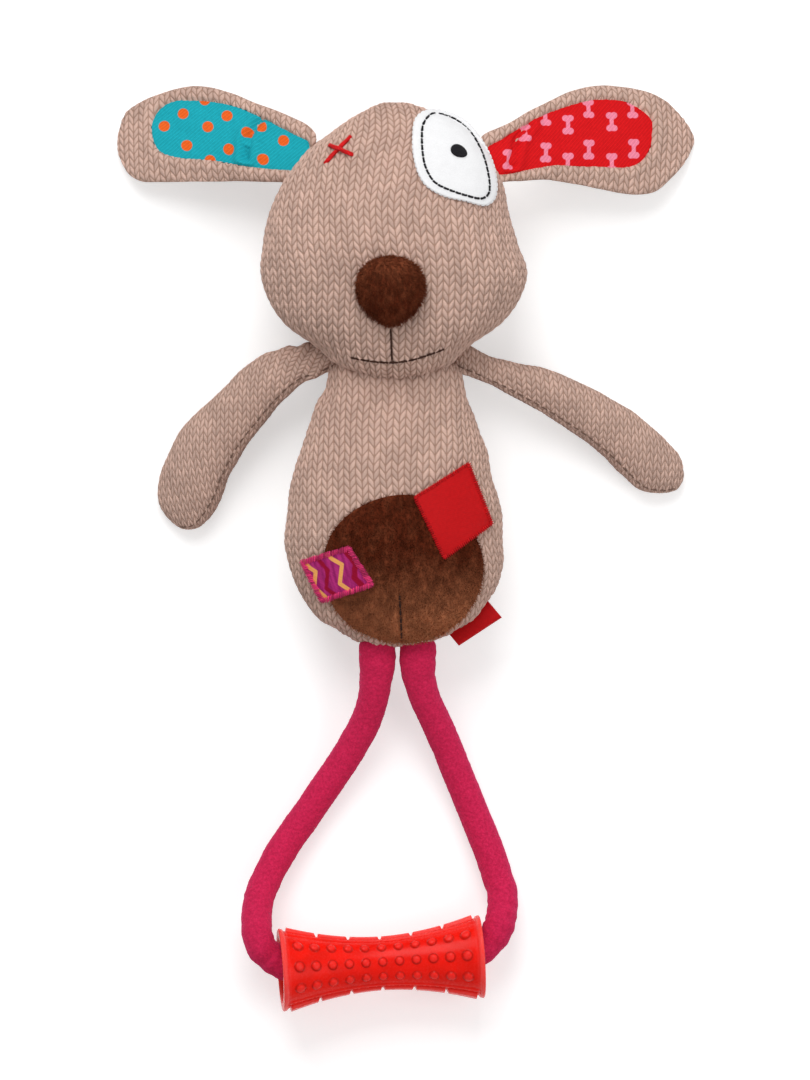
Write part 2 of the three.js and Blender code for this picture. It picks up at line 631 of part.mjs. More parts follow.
// What a limb may not fill: the head and body, and the half space behind its seam at each end of its range
function clearOf(seam, height, sign) {
  const behind = new THREE.BoxGeometry(cutSpan, cutSpan, cutSpan).translate(-cutSpan / 2, 0, 0);
  behind.rotateZ(outward(seam, sign)).translate(seam.at[0], seam.at[1], height);
  const still = headForm(jointGap).add(bodyForm(jointGap)).add(eyeGuard);
  return [seam.low, seam.high].reduce((solid, angle) => {
    const turned = behind.clone().applyMatrix4(aboutSeam(seam, height, sign * radians(angle)));
    return solid.add(solidOf(turned));
  }, still);
}

// How far a limb droops before its underside meets the floor, keeping its place in plan
function droopOf(spec, rings, seam, height, sign) {
  const heading = radians(spec.heading);
  const out = outward(seam, sign);
  const angles = rings.map((ring) => {
    const across = (ring.left + ring.right) / 2;
    const x = spec.root[0] + ring.y * Math.cos(heading) + across * Math.sin(heading) - seam.at[0];
    const y = spec.root[1] + ring.y * Math.sin(heading) - across * Math.cos(heading) - seam.at[1];
    const reach = x * Math.cos(out) + y * Math.sin(out);
    let droop = 0;
    for (let i = 0; i < 8; i++) {
      droop = Math.atan2(height + floorCut - ring.depth * Math.cos(droop), Math.max(reach, ring.depth));
    }
    return droop;
  });
  return Math.min(...angles);
}

function limb(chinSpec, chinSeam, height, sign) {
  const spec = { ...chinSpec, root: fromChin(chinSpec.root) };
  const seam = { ...chinSeam, at: fromChin(chinSeam.at) };
  const rings = spec.shares.map(([y, left, right, depth]) => ({
    y: y * spec.length, left: left * spec.width, right: right * spec.width, depth: depth * spec.halfDepth,
  }));
  const droop = droopOf(spec, rings, seam, height, sign);
  const out = outward(seam, sign);
  const place = new THREE.Matrix4()
    .makeTranslation(spec.root[0], spec.root[1], 0)
    .multiply(new THREE.Matrix4().makeRotationZ(radians(spec.heading - 90)));
  const stretch = new THREE.Matrix4().makeTranslation(seam.at[0], seam.at[1], height)
    .multiply(new THREE.Matrix4().makeRotationZ(out))
    .multiply(new THREE.Matrix4().makeScale(1 / Math.cos(droop), 1, 1))
    .multiply(new THREE.Matrix4().makeRotationZ(-out))
    .multiply(new THREE.Matrix4().makeTranslation(-seam.at[0], -seam.at[1], 0));
  const folded = aboutSeam(seam, height, sign * droop).multiply(stretch).multiply(place);
  const form = (by) => solidOf(geometryOf(grownForm(rings, by, limbSides, 2, 0)).applyMatrix4(folded));
  const clear = clearOf(seam, height, sign);
  const trim = (solid) => solid.subtract(floor).subtract(clear);
  const half = (low, high) => solidOf(geometryOf(slab(low, high)).applyMatrix4(folded));
  return { rings, form, trim, half, folded };
}

for (const [side, spec, seam, sign] of [
  ['left', armLeft, armSeamLeft, -1],
  ['right', armRight, armSeamRight, 1],
]) {
  const made = limb(spec, seam, bodyAxisZ, sign);
  const shell = made.trim(made.form(0)).subtract(made.form(-skinWall));
  add(`arm_${side}_front_panel`, shell.intersect(made.half(layerGap / 2, cutSpan)), fabric(colours.knit));
  add(`arm_${side}_back_panel`, shell.intersect(made.half(-cutSpan, -layerGap / 2)), fabric(colours.knit));
  add(`arm_${side}_filling`, made.trim(made.form(-skinWall - layerGap)), fabric(colours.filling));
}

for (const [side, spec, seam, sign, colour] of [
  ['left', earLeft, earSeamLeft, -1, colours.turquoise],
  ['right', earRight, earSeamRight, 1, colours.red],
]) {
  const made = limb(spec, seam, headAxisZ, sign);
  const whole = made.trim(made.form(0));
  add(`ear_${side}_front_panel`, whole.intersect(made.half(layerGap / 2, cutSpan)), fabric(colours.knit));
  add(`ear_${side}_back_panel`, whole.intersect(made.half(-cutSpan, -layerGap / 2)), fabric(colours.knit));
  const outline = liningShares[side].map(([along, across]) => [across * spec.width, along * spec.length]);
  if (THREE.ShapeUtils.area(outline.map(([x, y]) => new THREE.Vector2(x, y))) < 0) outline.reverse();
  const window = solidOf(geometryOf(prism(outline, 0, cutSpan / 4)).applyMatrix4(made.folded));
  const layer = made.form(layerGap + patchThickness).subtract(made.form(layerGap));
  add(`ear_${side}_lining`, made.trim(layer.intersect(window)), fabric(colour));
}

// Chew handle on its own axis, left end raised
const handleAxis = new THREE.Vector3(
  Math.cos(radians(handle.tilt)) * Math.cos(radians(handle.rise)),
  Math.sin(radians(handle.tilt)) * Math.cos(radians(handle.rise)),
  -Math.sin(radians(handle.rise)),
);
const handleRim = handle.endRadius + handle.rimHeight;
const handleZ =
  (handle.length / 2) * Math.sin(radians(handle.rise)) + handleRim * Math.cos(radians(handle.rise));
const handleCentre = new THREE.Vector3(handle.centre[0], handle.centre[1], handleZ);
const flare = (x, waist, end) => waist + (end - waist) * Math.abs(x / (handle.length / 2)) ** handle.flarePower;
const handleRadiusAt = (x) => flare(x, handle.waistRadius, handle.endRadius);
const boreRadius = cordRadius + handle.boreGap;
const boreRadiusAt = (x) => flare(x, boreRadius, handle.mouthRadius);
{
  const outer = [];
  const inner = [];
  for (let i = 0; i <= handleRings; i++) {
    const x = THREE.MathUtils.lerp(-handle.length / 2, handle.length / 2, i / handleRings);
    outer.push(new THREE.Vector2(handleRadiusAt(x), x));
    inner.push(new THREE.Vector2(boreRadiusAt(x), x));
  }
  const rimStart = handle.length / 2 - handle.rimWidth;
  const between = outer.filter((point) => Math.abs(point.y) < rimStart);
  const neckOfRim = handleRadiusAt(rimStart);
  const profile = [
    ...inner.reverse(),
    new THREE.Vector2(handleRim, -handle.length / 2),
    new THREE.Vector2(handleRim, -rimStart),
    new THREE.Vector2(neckOfRim, -rimStart),
    ...between,
    new THREE.Vector2(neckOfRim, rimStart),
    new THREE.Vector2(handleRim, rimStart),
    new THREE.Vector2(handleRim, handle.length / 2),
    inner[0],
  ];
  let solid = solidOf(new THREE.LatheGeometry(profile, handleSides));
  const reach = handle.length / 2 - nub.edgeMargin;
  for (const angle of nubRowAngles) {
    for (let i = 0; i < nub.count; i++) {
      const x = THREE.MathUtils.lerp(-reach, reach, i / (nub.count - 1));
      const radius = handleRadiusAt(x);
      const size = (nub.radius * radius) / handle.endRadius;
      const geometry = new THREE.CylinderGeometry(size / 2, size, 2 * nub.height, nub.sides);
      geometry.rotateX(Math.PI / 2).translate(0, x, radius).rotateY(radians(angle));
      solid = solid.add(solidOf(geometry));
    }
  }
  const pitch = (2 * reach) / plank.count;
  for (const turn of [-1, 1]) {
    for (let i = 0; i < plank.count; i++) {
      const from = -reach + i * pitch + plank.gap / 2;
      const to = from + pitch - plank.gap;
      const points = [[from, -plank.height], [from, plank.height], [to, plank.height], [to, -plank.height]]
        .map(([x, side]) => new THREE.Vector2(handleRadiusAt(x) + side, x));
      points.push(points[0]);
      const arc = radians(plank.arc);
      const strip = new THREE.LatheGeometry(points, plankSegments, radians(turn * plank.angle) - arc / 2, arc);
      solid = solid.add(solidOf(closedStrip(strip, points.length, plankSegments)));
    }
  }
  const seat = new THREE.Group();
  seat.position.copy(handleCentre);
  seat.quaternion.setFromUnitVectors(new THREE.Vector3(0, 1, 0), handleAxis);
  group.add(seat);
  add('chew_handle', solid, moulded(colours.rubber), seat);
}

// Closes the two ends of a partial lathe of a closed profile
function closedStrip(lathe, rows, segments) {
  const bare = lathe.clone();
  bare.deleteAttribute('normal');
  bare.deleteAttribute('uv');
  const index = Array.from(bare.index.array);
  const last = segments * rows;
  for (let i = 1; i + 2 < rows; i++) {
    index.push(0, i, i + 1, last, last + i + 1, last + i);
  }
  bare.setIndex(index);
  return bare;
}

// The cord's route: hem, left leg, bend, through the handle, bend, right leg, hem
function handleExit(side) {
  const points = [];
  const up = new THREE.Vector3().crossVectors(upZ, handleAxis).normalize();
  const place = (along, across) => {
    points.push(handleCentre.clone().addScaledVector(handleAxis, side * along).addScaledVector(up, across).toArray());
  };
  for (const share of straightShares) place(handle.straight * share, 0);
  for (const angle of bendAngles) {
    const bend = radians(angle);
    place(handle.straight + cordBendRadius * Math.sin(bend), cordBendRadius * (1 - Math.cos(bend)));
  }
  return side < 0 ? points.reverse() : points;
}
const hemOverrun = cordRadius + cutOverrun;
const hemPoints = (x) => [
  [x, hemAxisY + hemOverrun, bodyAxisZ],
  [x, hemAxisY, bodyAxisZ],
  [x, hemAxisY - cordRadius / 2, bodyAxisZ - layerGap],
];
const cordRoute = [
  ...hemPoints(legXs[0]),
  ...leftLegRoute,
  ...handleExit(-1),
  ...handleExit(1),
  ...rightLegRoute,
  ...hemPoints(legXs[1]).reverse(),
];
function above(y) {
  const geometry = new THREE.BoxGeometry(cutSpan, cutSpan, cutSpan);
  return solidOf(geometry.translate(0, y + cutSpan / 2, 0));
}
{
  const innerDiameter = cordDiameter - 2 * sleeveWall;
  const tube = (diameter) => solidOf(thread(cordRoute, diameter, cordSteps, cordSides));
  const ends = legXs.map((x) => ball(x, hemAxisY, bodyAxisZ, cordRadius, limbSides));
  const outside = ends.reduce((solid, end) => solid.add(end), tube(cordDiameter).subtract(above(hemAxisY)));
  add('leg_cord_sleeve', outside.subtract(tube(innerDiameter)), fabric(colours.velour));
  const coreReach = cordRadius - sleeveWall - layerGap;
  const core = tube(innerDiameter - 2 * layerGap).subtract(above(hemAxisY + coreReach / 2));
  add('leg_cord_core', core, fabric(colours.rope));
  const curve = new THREE.CatmullRomCurve3(cordRoute.map((p) => new THREE.Vector3(...p)), false, 'centripetal');
  console.log(`leg cord length ${(curve.getLength() - 2 * hemOverrun).toFixed(1)} mm`);
}

// The origin is under the middle of the whole toy, on the floor
const box = new THREE.Box3().setFromObject(group, true);
const centre = box.getCenter(new THREE.Vector3());
group.position.set(-centre.x, -centre.y, -box.min.z);
group.updateMatrixWorld(true);

export default group;
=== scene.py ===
# Plush tug toy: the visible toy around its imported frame, in metres.
# +Y runs from the hem to the top of the head, +X to the right seen from the front, and +Z up.
import math

import bpy
import numpy as np
from bpy.props import FloatProperty, FloatVectorProperty, IntProperty, PointerProperty
from bpy.types import Operator, Panel, PropertyGroup
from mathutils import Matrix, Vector


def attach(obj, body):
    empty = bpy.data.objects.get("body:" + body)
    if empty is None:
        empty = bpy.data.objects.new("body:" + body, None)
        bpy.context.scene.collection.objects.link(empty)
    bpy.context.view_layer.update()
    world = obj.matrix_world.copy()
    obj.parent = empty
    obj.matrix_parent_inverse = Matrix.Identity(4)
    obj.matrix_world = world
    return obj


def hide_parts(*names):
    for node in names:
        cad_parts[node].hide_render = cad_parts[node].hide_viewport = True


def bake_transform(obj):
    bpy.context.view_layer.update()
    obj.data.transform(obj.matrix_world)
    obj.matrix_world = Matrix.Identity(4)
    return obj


bl_info = {
    "name": "Plush tug toy",
    "version": (1, 0, 0),
    "blender": (4, 5, 0),
    "location": "View3D > Sidebar > Tug toy",
    "description": "Builds a stuffed knit dog with a rope leg loop and a chew handle",
    "category": "Object",
}

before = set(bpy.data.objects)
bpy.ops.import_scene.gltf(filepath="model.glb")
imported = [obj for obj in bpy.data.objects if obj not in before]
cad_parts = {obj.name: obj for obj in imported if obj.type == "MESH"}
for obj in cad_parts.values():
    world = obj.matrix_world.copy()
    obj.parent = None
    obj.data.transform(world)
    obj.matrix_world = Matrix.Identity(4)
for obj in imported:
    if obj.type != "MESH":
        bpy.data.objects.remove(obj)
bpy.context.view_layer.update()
MM = 0.001

# The frame's origin lies under the middle of the toy. Measures below start at the middle of the hem.
ORIGIN = np.array([-4.573, -38.166, 0.0])

# Body and head: share of the height, left and right shares of the half width, share of the half depth
BODY_HEIGHT = 99.0
BODY_HALF_WIDTH = 41.8
BODY_HALF_DEPTH = 27.0
BODY_POWER = 2.1
BODY_MIDDLE = 26.5
NECK_HALF_WIDTH = 27.0
NECK_RADIUS = 18.0
BODY_SHARES = [
    (0.012, -0.13, 0.19, 0.16), (0.045, -0.4, 0.45, 0.36), (0.08, -0.54, 0.6, 0.49),
    (0.115, -0.68, 0.73, 0.6), (0.165, -0.78, 0.83, 0.71), (0.24, -0.89, 0.94, 0.84),
    (0.34, -0.97, 1.0, 0.945), (0.43, -1.0, 0.995, 1.0), (0.54, -0.985, 0.975, 0.99),
    (0.66, -0.935, 0.905, 0.94), (0.78, -0.85, 0.84, 0.85), (0.9, -0.75, 0.735, 0.73),
]
CHIN_Y = 103.5
HEAD_HEIGHT = 105.0
HEAD_HALF_WIDTH = 51.0
HEAD_HALF_DEPTH = 33.0
HEAD_POWER = 2.15
HEAD_MIDDLE = 32.5
HEAD_SHARES = [
    (0.0, -0.12, 0.12, 0.36), (0.012, -0.25, 0.25, 0.47), (0.045, -0.42, 0.41, 0.59),
    (0.11, -0.585, 0.565, 0.725), (0.2, -0.825, 0.81, 0.855), (0.28, -0.93, 0.93, 0.925),
    (0.38, -0.99, 0.995, 0.98), (0.48, -0.98, 0.935, 1.0), (0.59, -0.94, 0.87, 0.96),
    (0.7, -0.845, 0.815, 0.875), (0.8, -0.69, 0.71, 0.74), (0.885, -0.48, 0.565, 0.56),
    (0.955, -0.265, 0.34, 0.325), (0.995, -0.07, 0.1, 0.1),
]

# Arms and ears, laid out from their roots: share of the length, of the width to each side, of the half depth
ARM_WIDTH = 26.0
ARM_HALF_DEPTH = 7.6
EAR_WIDTH = 37.3
EAR_HALF_DEPTH = 3.2
ARM_LEFT = {
    "root": (-23.2, 111.0), "length": 86.5, "heading": -130.9, "seam": (-29.6, 109.5), "seam_heading": 105.0,
    "side": -1, "width": ARM_WIDTH, "half_depth": ARM_HALF_DEPTH, "height": BODY_MIDDLE,
    "shares": [
        (0.0, -0.17, 0.31, 0.34), (0.07, -0.1, 0.55, 0.45), (0.16, 0.07, 0.77, 0.64), (0.28, 0.13, 0.9, 0.81),
        (0.42, 0.125, 0.95, 0.92), (0.56, 0.1, 0.99, 0.97), (0.68, 0.01, 1.0, 1.0), (0.81, -0.13, 0.9, 0.98),
        (0.9, -0.17, 0.77, 0.9), (0.96, -0.135, 0.6, 0.7), (1.005, 0.05, 0.34, 0.25),
    ],
}
ARM_RIGHT = {
    "root": (24.7, 111.7), "length": 98.6, "heading": -31.6, "seam": (27.4, 110.1), "seam_heading": 75.0,
    "side": 1, "width": ARM_WIDTH, "half_depth": ARM_HALF_DEPTH, "height": BODY_MIDDLE,
    "shares": [
        (0.0, -0.21, 0.2, 0.34), (0.1, -0.27, 0.165, 0.46), (0.19, -0.36, 0.122, 0.61),
        (0.31, -0.52, 0.095, 0.78), (0.44, -0.61, 0.085, 0.89), (0.57, -0.655, 0.103, 0.96),
        (0.68, -0.66, 0.154, 1.0), (0.78, -0.615, 0.24, 0.99), (0.86, -0.56, 0.296, 0.92),
        (0.93, -0.45, 0.21, 0.72), (0.985, -0.19, 0.0, 0.25),
    ],
}
EAR_LEFT = {
    "root": (-33.8, 187.0), "length": 71.0, "heading": 174.5, "seam": (-35.6, 188.4), "seam_heading": 48.0,
    "side": -1, "width": EAR_WIDTH, "half_depth": EAR_HALF_DEPTH, "height": HEAD_MIDDLE,
    "shares": [
        (-0.03, -0.255, 0.3, 0.62), (0.12, -0.275, 0.43, 0.77), (0.27, -0.303, 0.52, 0.9),
        (0.45, -0.337, 0.62, 1.0), (0.6, -0.367, 0.64, 1.0), (0.74, -0.393, 0.573, 1.0),
        (0.87, -0.4, 0.475, 0.94), (0.94, -0.328, 0.383, 0.82), (0.98, -0.222, 0.292, 0.62),
        (1.005, -0.056, 0.111, 0.3),
    ],
}
EAR_RIGHT = {
    "root": (36.5, 187.0), "length": 77.8, "heading": 5.0, "seam": (38.6, 186.6), "seam_heading": 130.0,
    "side": 1, "width": EAR_WIDTH, "half_depth": EAR_HALF_DEPTH, "height": HEAD_MIDDLE,
    "shares": [
        (-0.03, -0.23, 0.235, 0.62), (0.11, -0.33, 0.255, 0.78), (0.25, -0.48, 0.283, 0.9),
        (0.4, -0.61, 0.36, 0.98), (0.56, -0.656, 0.446, 1.0), (0.7, -0.62, 0.51, 1.0),
        (0.8, -0.55, 0.49, 0.98), (0.88, -0.447, 0.367, 0.9), (0.95, -0.27, 0.22, 0.7),
        (1.0, -0.056, 0.028, 0.3),
    ],
}
FLOOR_CUT = 0.5
BEND_BEFORE_SEAM = 3.0
BEND_AFTER_SEAM = 12.0

# Stuffing: how deep an arm's filling lies, spacing of the simulated forms, and the forms pumped up so far
FILLING_DEPTH = 2.4
STUFFING_SPACING = 3.4
LIMB_STUFFING_SPACING = 2.2
STUFFED = {}

# Knit stitches: how far a V leans for its width, and how round a strand and its ends are
KNIT_LEAN = 0.88
STRAND_ROUNDNESS = 2.4
STRAND_TAPER = 2.6

# Side seams: half the width that they pinch in, and how thin a form gets before its stitches fade
SEAM_WIDTH = 1.6
FADE_GIRTH = 5.0

# Leg loop: its rope, where its ends are sewn in, and the legs' routes from hem to handle and back
CORD_DIAMETER = 11.6
HEM_AXIS_Y = -2.2
LEG_XS = (-6.3, 9.1)
LEFT_LEG = [
    (-6.8, -10, 24.2), (-7.8, -18, 20.4), (-10.7, -27, 15.6), (-14.9, -35, 12.0), (-20.4, -44, 9.2),
    (-27.3, -54, 7.4), (-34.9, -65, 6.8), (-42.4, -76, 7.6), (-48.4, -87, 10.6), (-51.6, -96, 15.0),
]
RIGHT_LEG = [
    (41.2, -93, 10.4), (39.3, -86, 8.2), (35.6, -75, 7.0), (31.1, -64, 6.8), (27.0, -54, 7.4),
    (23.0, -44, 9.2), (19.4, -35, 12.0), (15.4, -26, 16.2), (11.7, -18, 20.4), (9.5, -10, 24.2),
]

# Handle: middle, axis, length and radii, then how the rope runs straight through it and bends out of it
HANDLE_CENTRE = np.array([-4.9, -119.2, 19.071])
HANDLE_AXIS = np.array([0.994726, 0.06607, -0.078459])
HANDLE_LENGTH = 77.0
HANDLE_END = 15.4
HANDLE_WAIST = 9.2
HANDLE_FLARE = 1.9
BORE_WAIST = 6.6
BORE_MOUTH = 12.6
STRAIGHT = 28.5
BEND_RADIUS = 19.0
STRAIGHT_SHARES = (0.3, 0.7, 0.9)
BEND_ANGLES = (0, 20, 42, 66)


def number(name, default, description, low=0.0, high=1.0, unit="NONE"):
    return FloatProperty(name=name, default=default, description=description, min=low, max=high, unit=unit)


def colour(name, default, description):
    return FloatVectorProperty(
        name=name, default=default, description=description, subtype="COLOR", size=3, min=0.0, max=1.0,
    )


class ToyFabric(PropertyGroup):
    """Sizes of the knit and the pile, and the knit's mesh spacing."""
    wale: number("Wale", 4.66 * MM, "Width of one knit stitch", 0.0, 0.02, "LENGTH")
    course: number("Course", 3.25 * MM, "Height of one knit stitch", 0.0, 0.02, "LENGTH")
    relief: number("Knit relief", 0.55 * MM, "How far the stitches stand up", 0.0, 0.003, "LENGTH")
    pile: number("Plush pile", 1.5 * MM, "Length of the brown plush pile", 0.0, 0.006, "LENGTH")
    velour: number("Velour pile", 0.35 * MM, "Length of the velour pile on the legs", 0.0, 0.003, "LENGTH")
    spacing: number("Mesh spacing", 0.62 * MM, "Distance between knit vertices", 0.0003, 0.005, "LENGTH")


class ToyColours(PropertyGroup):
    """Colours of the toy's cloths, threads and rubber."""
    # the yarn colour lies on the stitches' crowns; the gap colour is painted shade between them
    yarn: colour("Yarn", (0.655, 0.445, 0.368), "Light side of the taupe yarn")
    gap: colour("Yarn gap", (0.40, 0.245, 0.185), "Shade between the stitches")
    plush: colour("Plush", (0.134, 0.0255, 0.0098), "Brown plush")
    # the plush's colour for its painted highlight, on the nose's top and the lower belly
    plush_highlight: colour("Worn plush", (0.66, 0.25, 0.115), "Plush where it is brushed paler")
    velour: colour("Velour", (0.62, 0.019, 0.082), "Crimson velour")
    felt: colour("Felt", (0.86, 0.86, 0.87), "White felt")
    black: colour("Black thread", (0.012, 0.011, 0.014), "Black embroidery")
    red_yarn: colour("Red yarn", (0.68, 0.012, 0.014), "Cross stitches and red seams")
    brown_thread: colour("Brown thread", (0.06, 0.026, 0.018), "Mouth and belly lines")
    turquoise: colour("Turquoise", (0.012, 0.39, 0.47), "Left ear's lining")
    orange: colour("Orange", (0.85, 0.13, 0.018), "Dots on the left ear")
    red: colour("Red", (0.68, 0.008, 0.011), "Right ear's lining and the labels")
    pink: colour("Pink", (0.88, 0.25, 0.36), "Bones on the right ear")
    purple: colour("Purple", (0.32, 0.014, 0.13), "Ground of the zigzag patch")
    crimson: colour("Crimson", (0.33, 0.004, 0.03), "Stripes on the zigzag patch")
    yellow: colour("Yellow", (0.92, 0.42, 0.12), "Zigzags")
    hot_pink: colour("Hot pink", (0.80, 0.045, 0.19), "Whipstitches round the zigzag patch")
    rubber: colour("Rubber", (0.97, 0.011, 0.004), "Chew handle")


class ToyScene(PropertyGroup):
    """Camera, lamps and surround."""
    camera_height: number("Camera height", 9.0, "How far the camera hangs above the toy", 0.5, 20.0, "LENGTH")
    view_height: number("View height", 410.4 * MM, "Height of the picture at the toy", 0.1, 2.0, "LENGTH")
    key_power: number("Key lamp", 12.6, "Power of the large soft lamp", 0.0, 100.0, "POWER")
    fill_power: number("Fill lamp", 3.2, "Power of the lamp on the other side", 0.0, 100.0, "POWER")
    surround: number("Surround", 0.485, "Strength of the even light from all sides", 0.0, 3.0)


def settings_of(context):
    return context.scene.tug_toy_colours, context.scene.tug_toy_fabric


def place(points):
    """Points in millimetres from the hem, as metres in the frame."""
    return (np.asarray(points, dtype=float) + ORIGIN) * MM


# Smooth lines through few points

def smooth(values, count):
    """Rows of numbers made finer along a centripetal spline, evenly by length."""
    points = np.asarray(values, dtype=float)
    ends = np.vstack([2 * points[0] - points[1], points, 2 * points[-1] - points[-2]])
    fine = []
    for i in range(len(points) - 1):
        p0, p1, p2, p3 = ends[i:i + 4]
        steps = np.maximum(np.linalg.norm(np.diff(ends[i:i + 4], axis=0), axis=1), 1e-6) ** 0.5
        t0, t1, t2, t3 = (0.0, *np.cumsum(steps))
        t = np.linspace(t1, t2, 24, endpoint=False)[:, None]
        a1 = passing(t, t0, t1, p0, p1)
        a2 = passing(t, t1, t2, p1, p2)
        a3 = passing(t, t2, t3, p2, p3)
        b1 = passing(t, t0, t2, a1, a2)
        b2 = passing(t, t1, t3, a2, a3)
        fine.append(passing(t, t1, t2, b1, b2))
    return evenly(np.vstack([*fine, points[-1:]]), count)


def passing(t, start, end, before, after):
    """What passes from one value to another between a start and an end."""
    return (end - t) / (end - start) * before + (t - start) / (end - start) * after


def evenly(line, count):
    """The same line with its points a like distance apart."""
    along = length_along(line)
    return at_lengths(line, along, np.linspace(0.0, along[-1], count))


def at_lengths(line, along, wanted):
    """The points of a line at wanted distances from its start."""
    return np.column_stack([np.interp(wanted, along, line[:, k]) for k in range(line.shape[1])])


def looped(outline):
    return np.vstack([outline, outline[:1]])


def closed_smooth(points, count):
    """A closed outline rounded through its corners."""
    fine = smooth(np.vstack([points[-2:], points, points[:3]]), count * 3)
    start = np.argmin(np.linalg.norm(fine[:count] - np.asarray(points[0]), axis=1))
    end = start + count + np.argmin(np.linalg.norm(fine[start + count:] - np.asarray(points[0]), axis=1))
    return evenly(np.vstack([fine[start:end], points[0]]), count + 1)[:-1]


def length_along(line):
    steps = np.linalg.norm(np.diff(line, axis=0), axis=1)
    return np.concatenate([[0.0], np.cumsum(steps)])


def all_round(count):
    """Angles spaced evenly over a full turn."""
    return np.arange(count) / count * 2 * math.pi


def unit(vectors):
    size = np.linalg.norm(vectors, axis=-1, keepdims=True)
    return vectors / np.maximum(size, 1e-12)


def grain(points, size, seed):
    """Smooth noise between -1 and 1, from a few waves in fixed directions."""
    wander = np.random.default_rng(seed)
    total = np.zeros(points.shape[:-1])
    for octave in range(3):
        for _ in range(5):
            direction = unit(wander.normal(size=3))
            phase = wander.uniform(0, 2 * math.pi)
            waves = 2 * math.pi * 2 ** octave / size * wander.uniform(0.7, 1.3)
            total += np.sin(points @ direction * waves + phase) * 0.5 ** octave
    return total / 5.0


def soft_step(value, low, high):
    """An eased rise from 0 at the low value to 1 at the high one."""
    share = np.clip((value - low) / (high - low), 0, 1)
    return share * share * (3 - 2 * share)


# Meshes from grids of points

def add_mesh(name, points, faces, material=None, cloth=None, marks=None):
    """A mesh object from points in metres, with its cloth coordinates and marks kept on the points."""
    mesh = bpy.data.meshes.new(name)
    mesh.from_pydata([tuple(p) for p in np.reshape(points, (-1, 3))], [], faces)
    mesh.validate()
    mesh.update()
    mesh.polygons.foreach_set("use_smooth", [True] * len(mesh.polygons))
    if material is not None:
        mesh.materials.append(material)
    if cloth is not None:
        layer = mesh.attributes.new("cloth", "FLOAT_VECTOR", "POINT")
        layer.data.foreach_set("vector", np.asarray(cloth, dtype=np.float32).ravel())
    for key, values in (marks or {}).items():
        layer = mesh.attributes.new(key, "FLOAT", "POINT")
        layer.data.foreach_set("value", np.asarray(values, dtype=np.float32).ravel())
    piece = bpy.data.objects.new(name, mesh)
    bpy.context.scene.collection.objects.link(piece)
    return piece


def tube_faces(rows, sides, first=0, ends=True):
    """Faces of a grid that closes round its sides, wound so that they look outwards."""
    faces = []
    for r in range(rows - 1):
        for k in range(sides):
            a = first + r * sides + k
            b = first + r * sides + (k + 1) % sides
            faces.append((a, a + sides, b + sides, b))
    if ends:
        faces.append(tuple(first + k for k in range(sides)))
        faces.append(tuple(first + (rows - 1) * sides + k for k in reversed(range(sides))))
    return faces


def around_line(line, wide, deep, angle, up=(0.0, 0.0, 1.0)):
    """Rings about a line, as wide and as deep as given, and the line's own direction at each."""
    tangent = unit(np.gradient(line, axis=0))
    side = unit(np.cross(tangent, up))
    above = np.cross(side, tangent)
    grid = line[:, None, :] + side[:, None, :] * (wide * np.cos(angle))[..., None]
    return grid + above[:, None, :] * (deep * np.sin(angle))[..., None], tangent


def grid_normals(grid):
    """Outward normals of a rows by sides grid that closes round its sides."""
    along = np.gradient(grid, axis=0)
    around = np.roll(grid, -1, axis=1) - np.roll(grid, 1, axis=1)
    return unit(np.cross(along, around))


def plan_turn(angle):
    """The matrix that turns places in plan by an angle, from their right."""
    c, s = math.cos(angle), math.sin(angle)
    return np.array([[c, s], [-s, c]])


def superellipse(angle, power):
    c = np.cos(angle)
    s = np.sin(angle)
    return np.sign(c) * np.abs(c) ** (2 / power), np.sign(s) * np.abs(s) ** (2 / power)


def side_angles(sides, power, ratio):
    """Angles that space a ring's points evenly, for a ring whose depth is a share of its width."""
    angle = np.linspace(0, 2 * math.pi, 1441)
    x, z = superellipse(angle, power)
    line = np.column_stack([x, z * ratio])
    return np.interp(np.linspace(0, length_along(line)[-1], sides + 1)[:-1], length_along(line), angle)


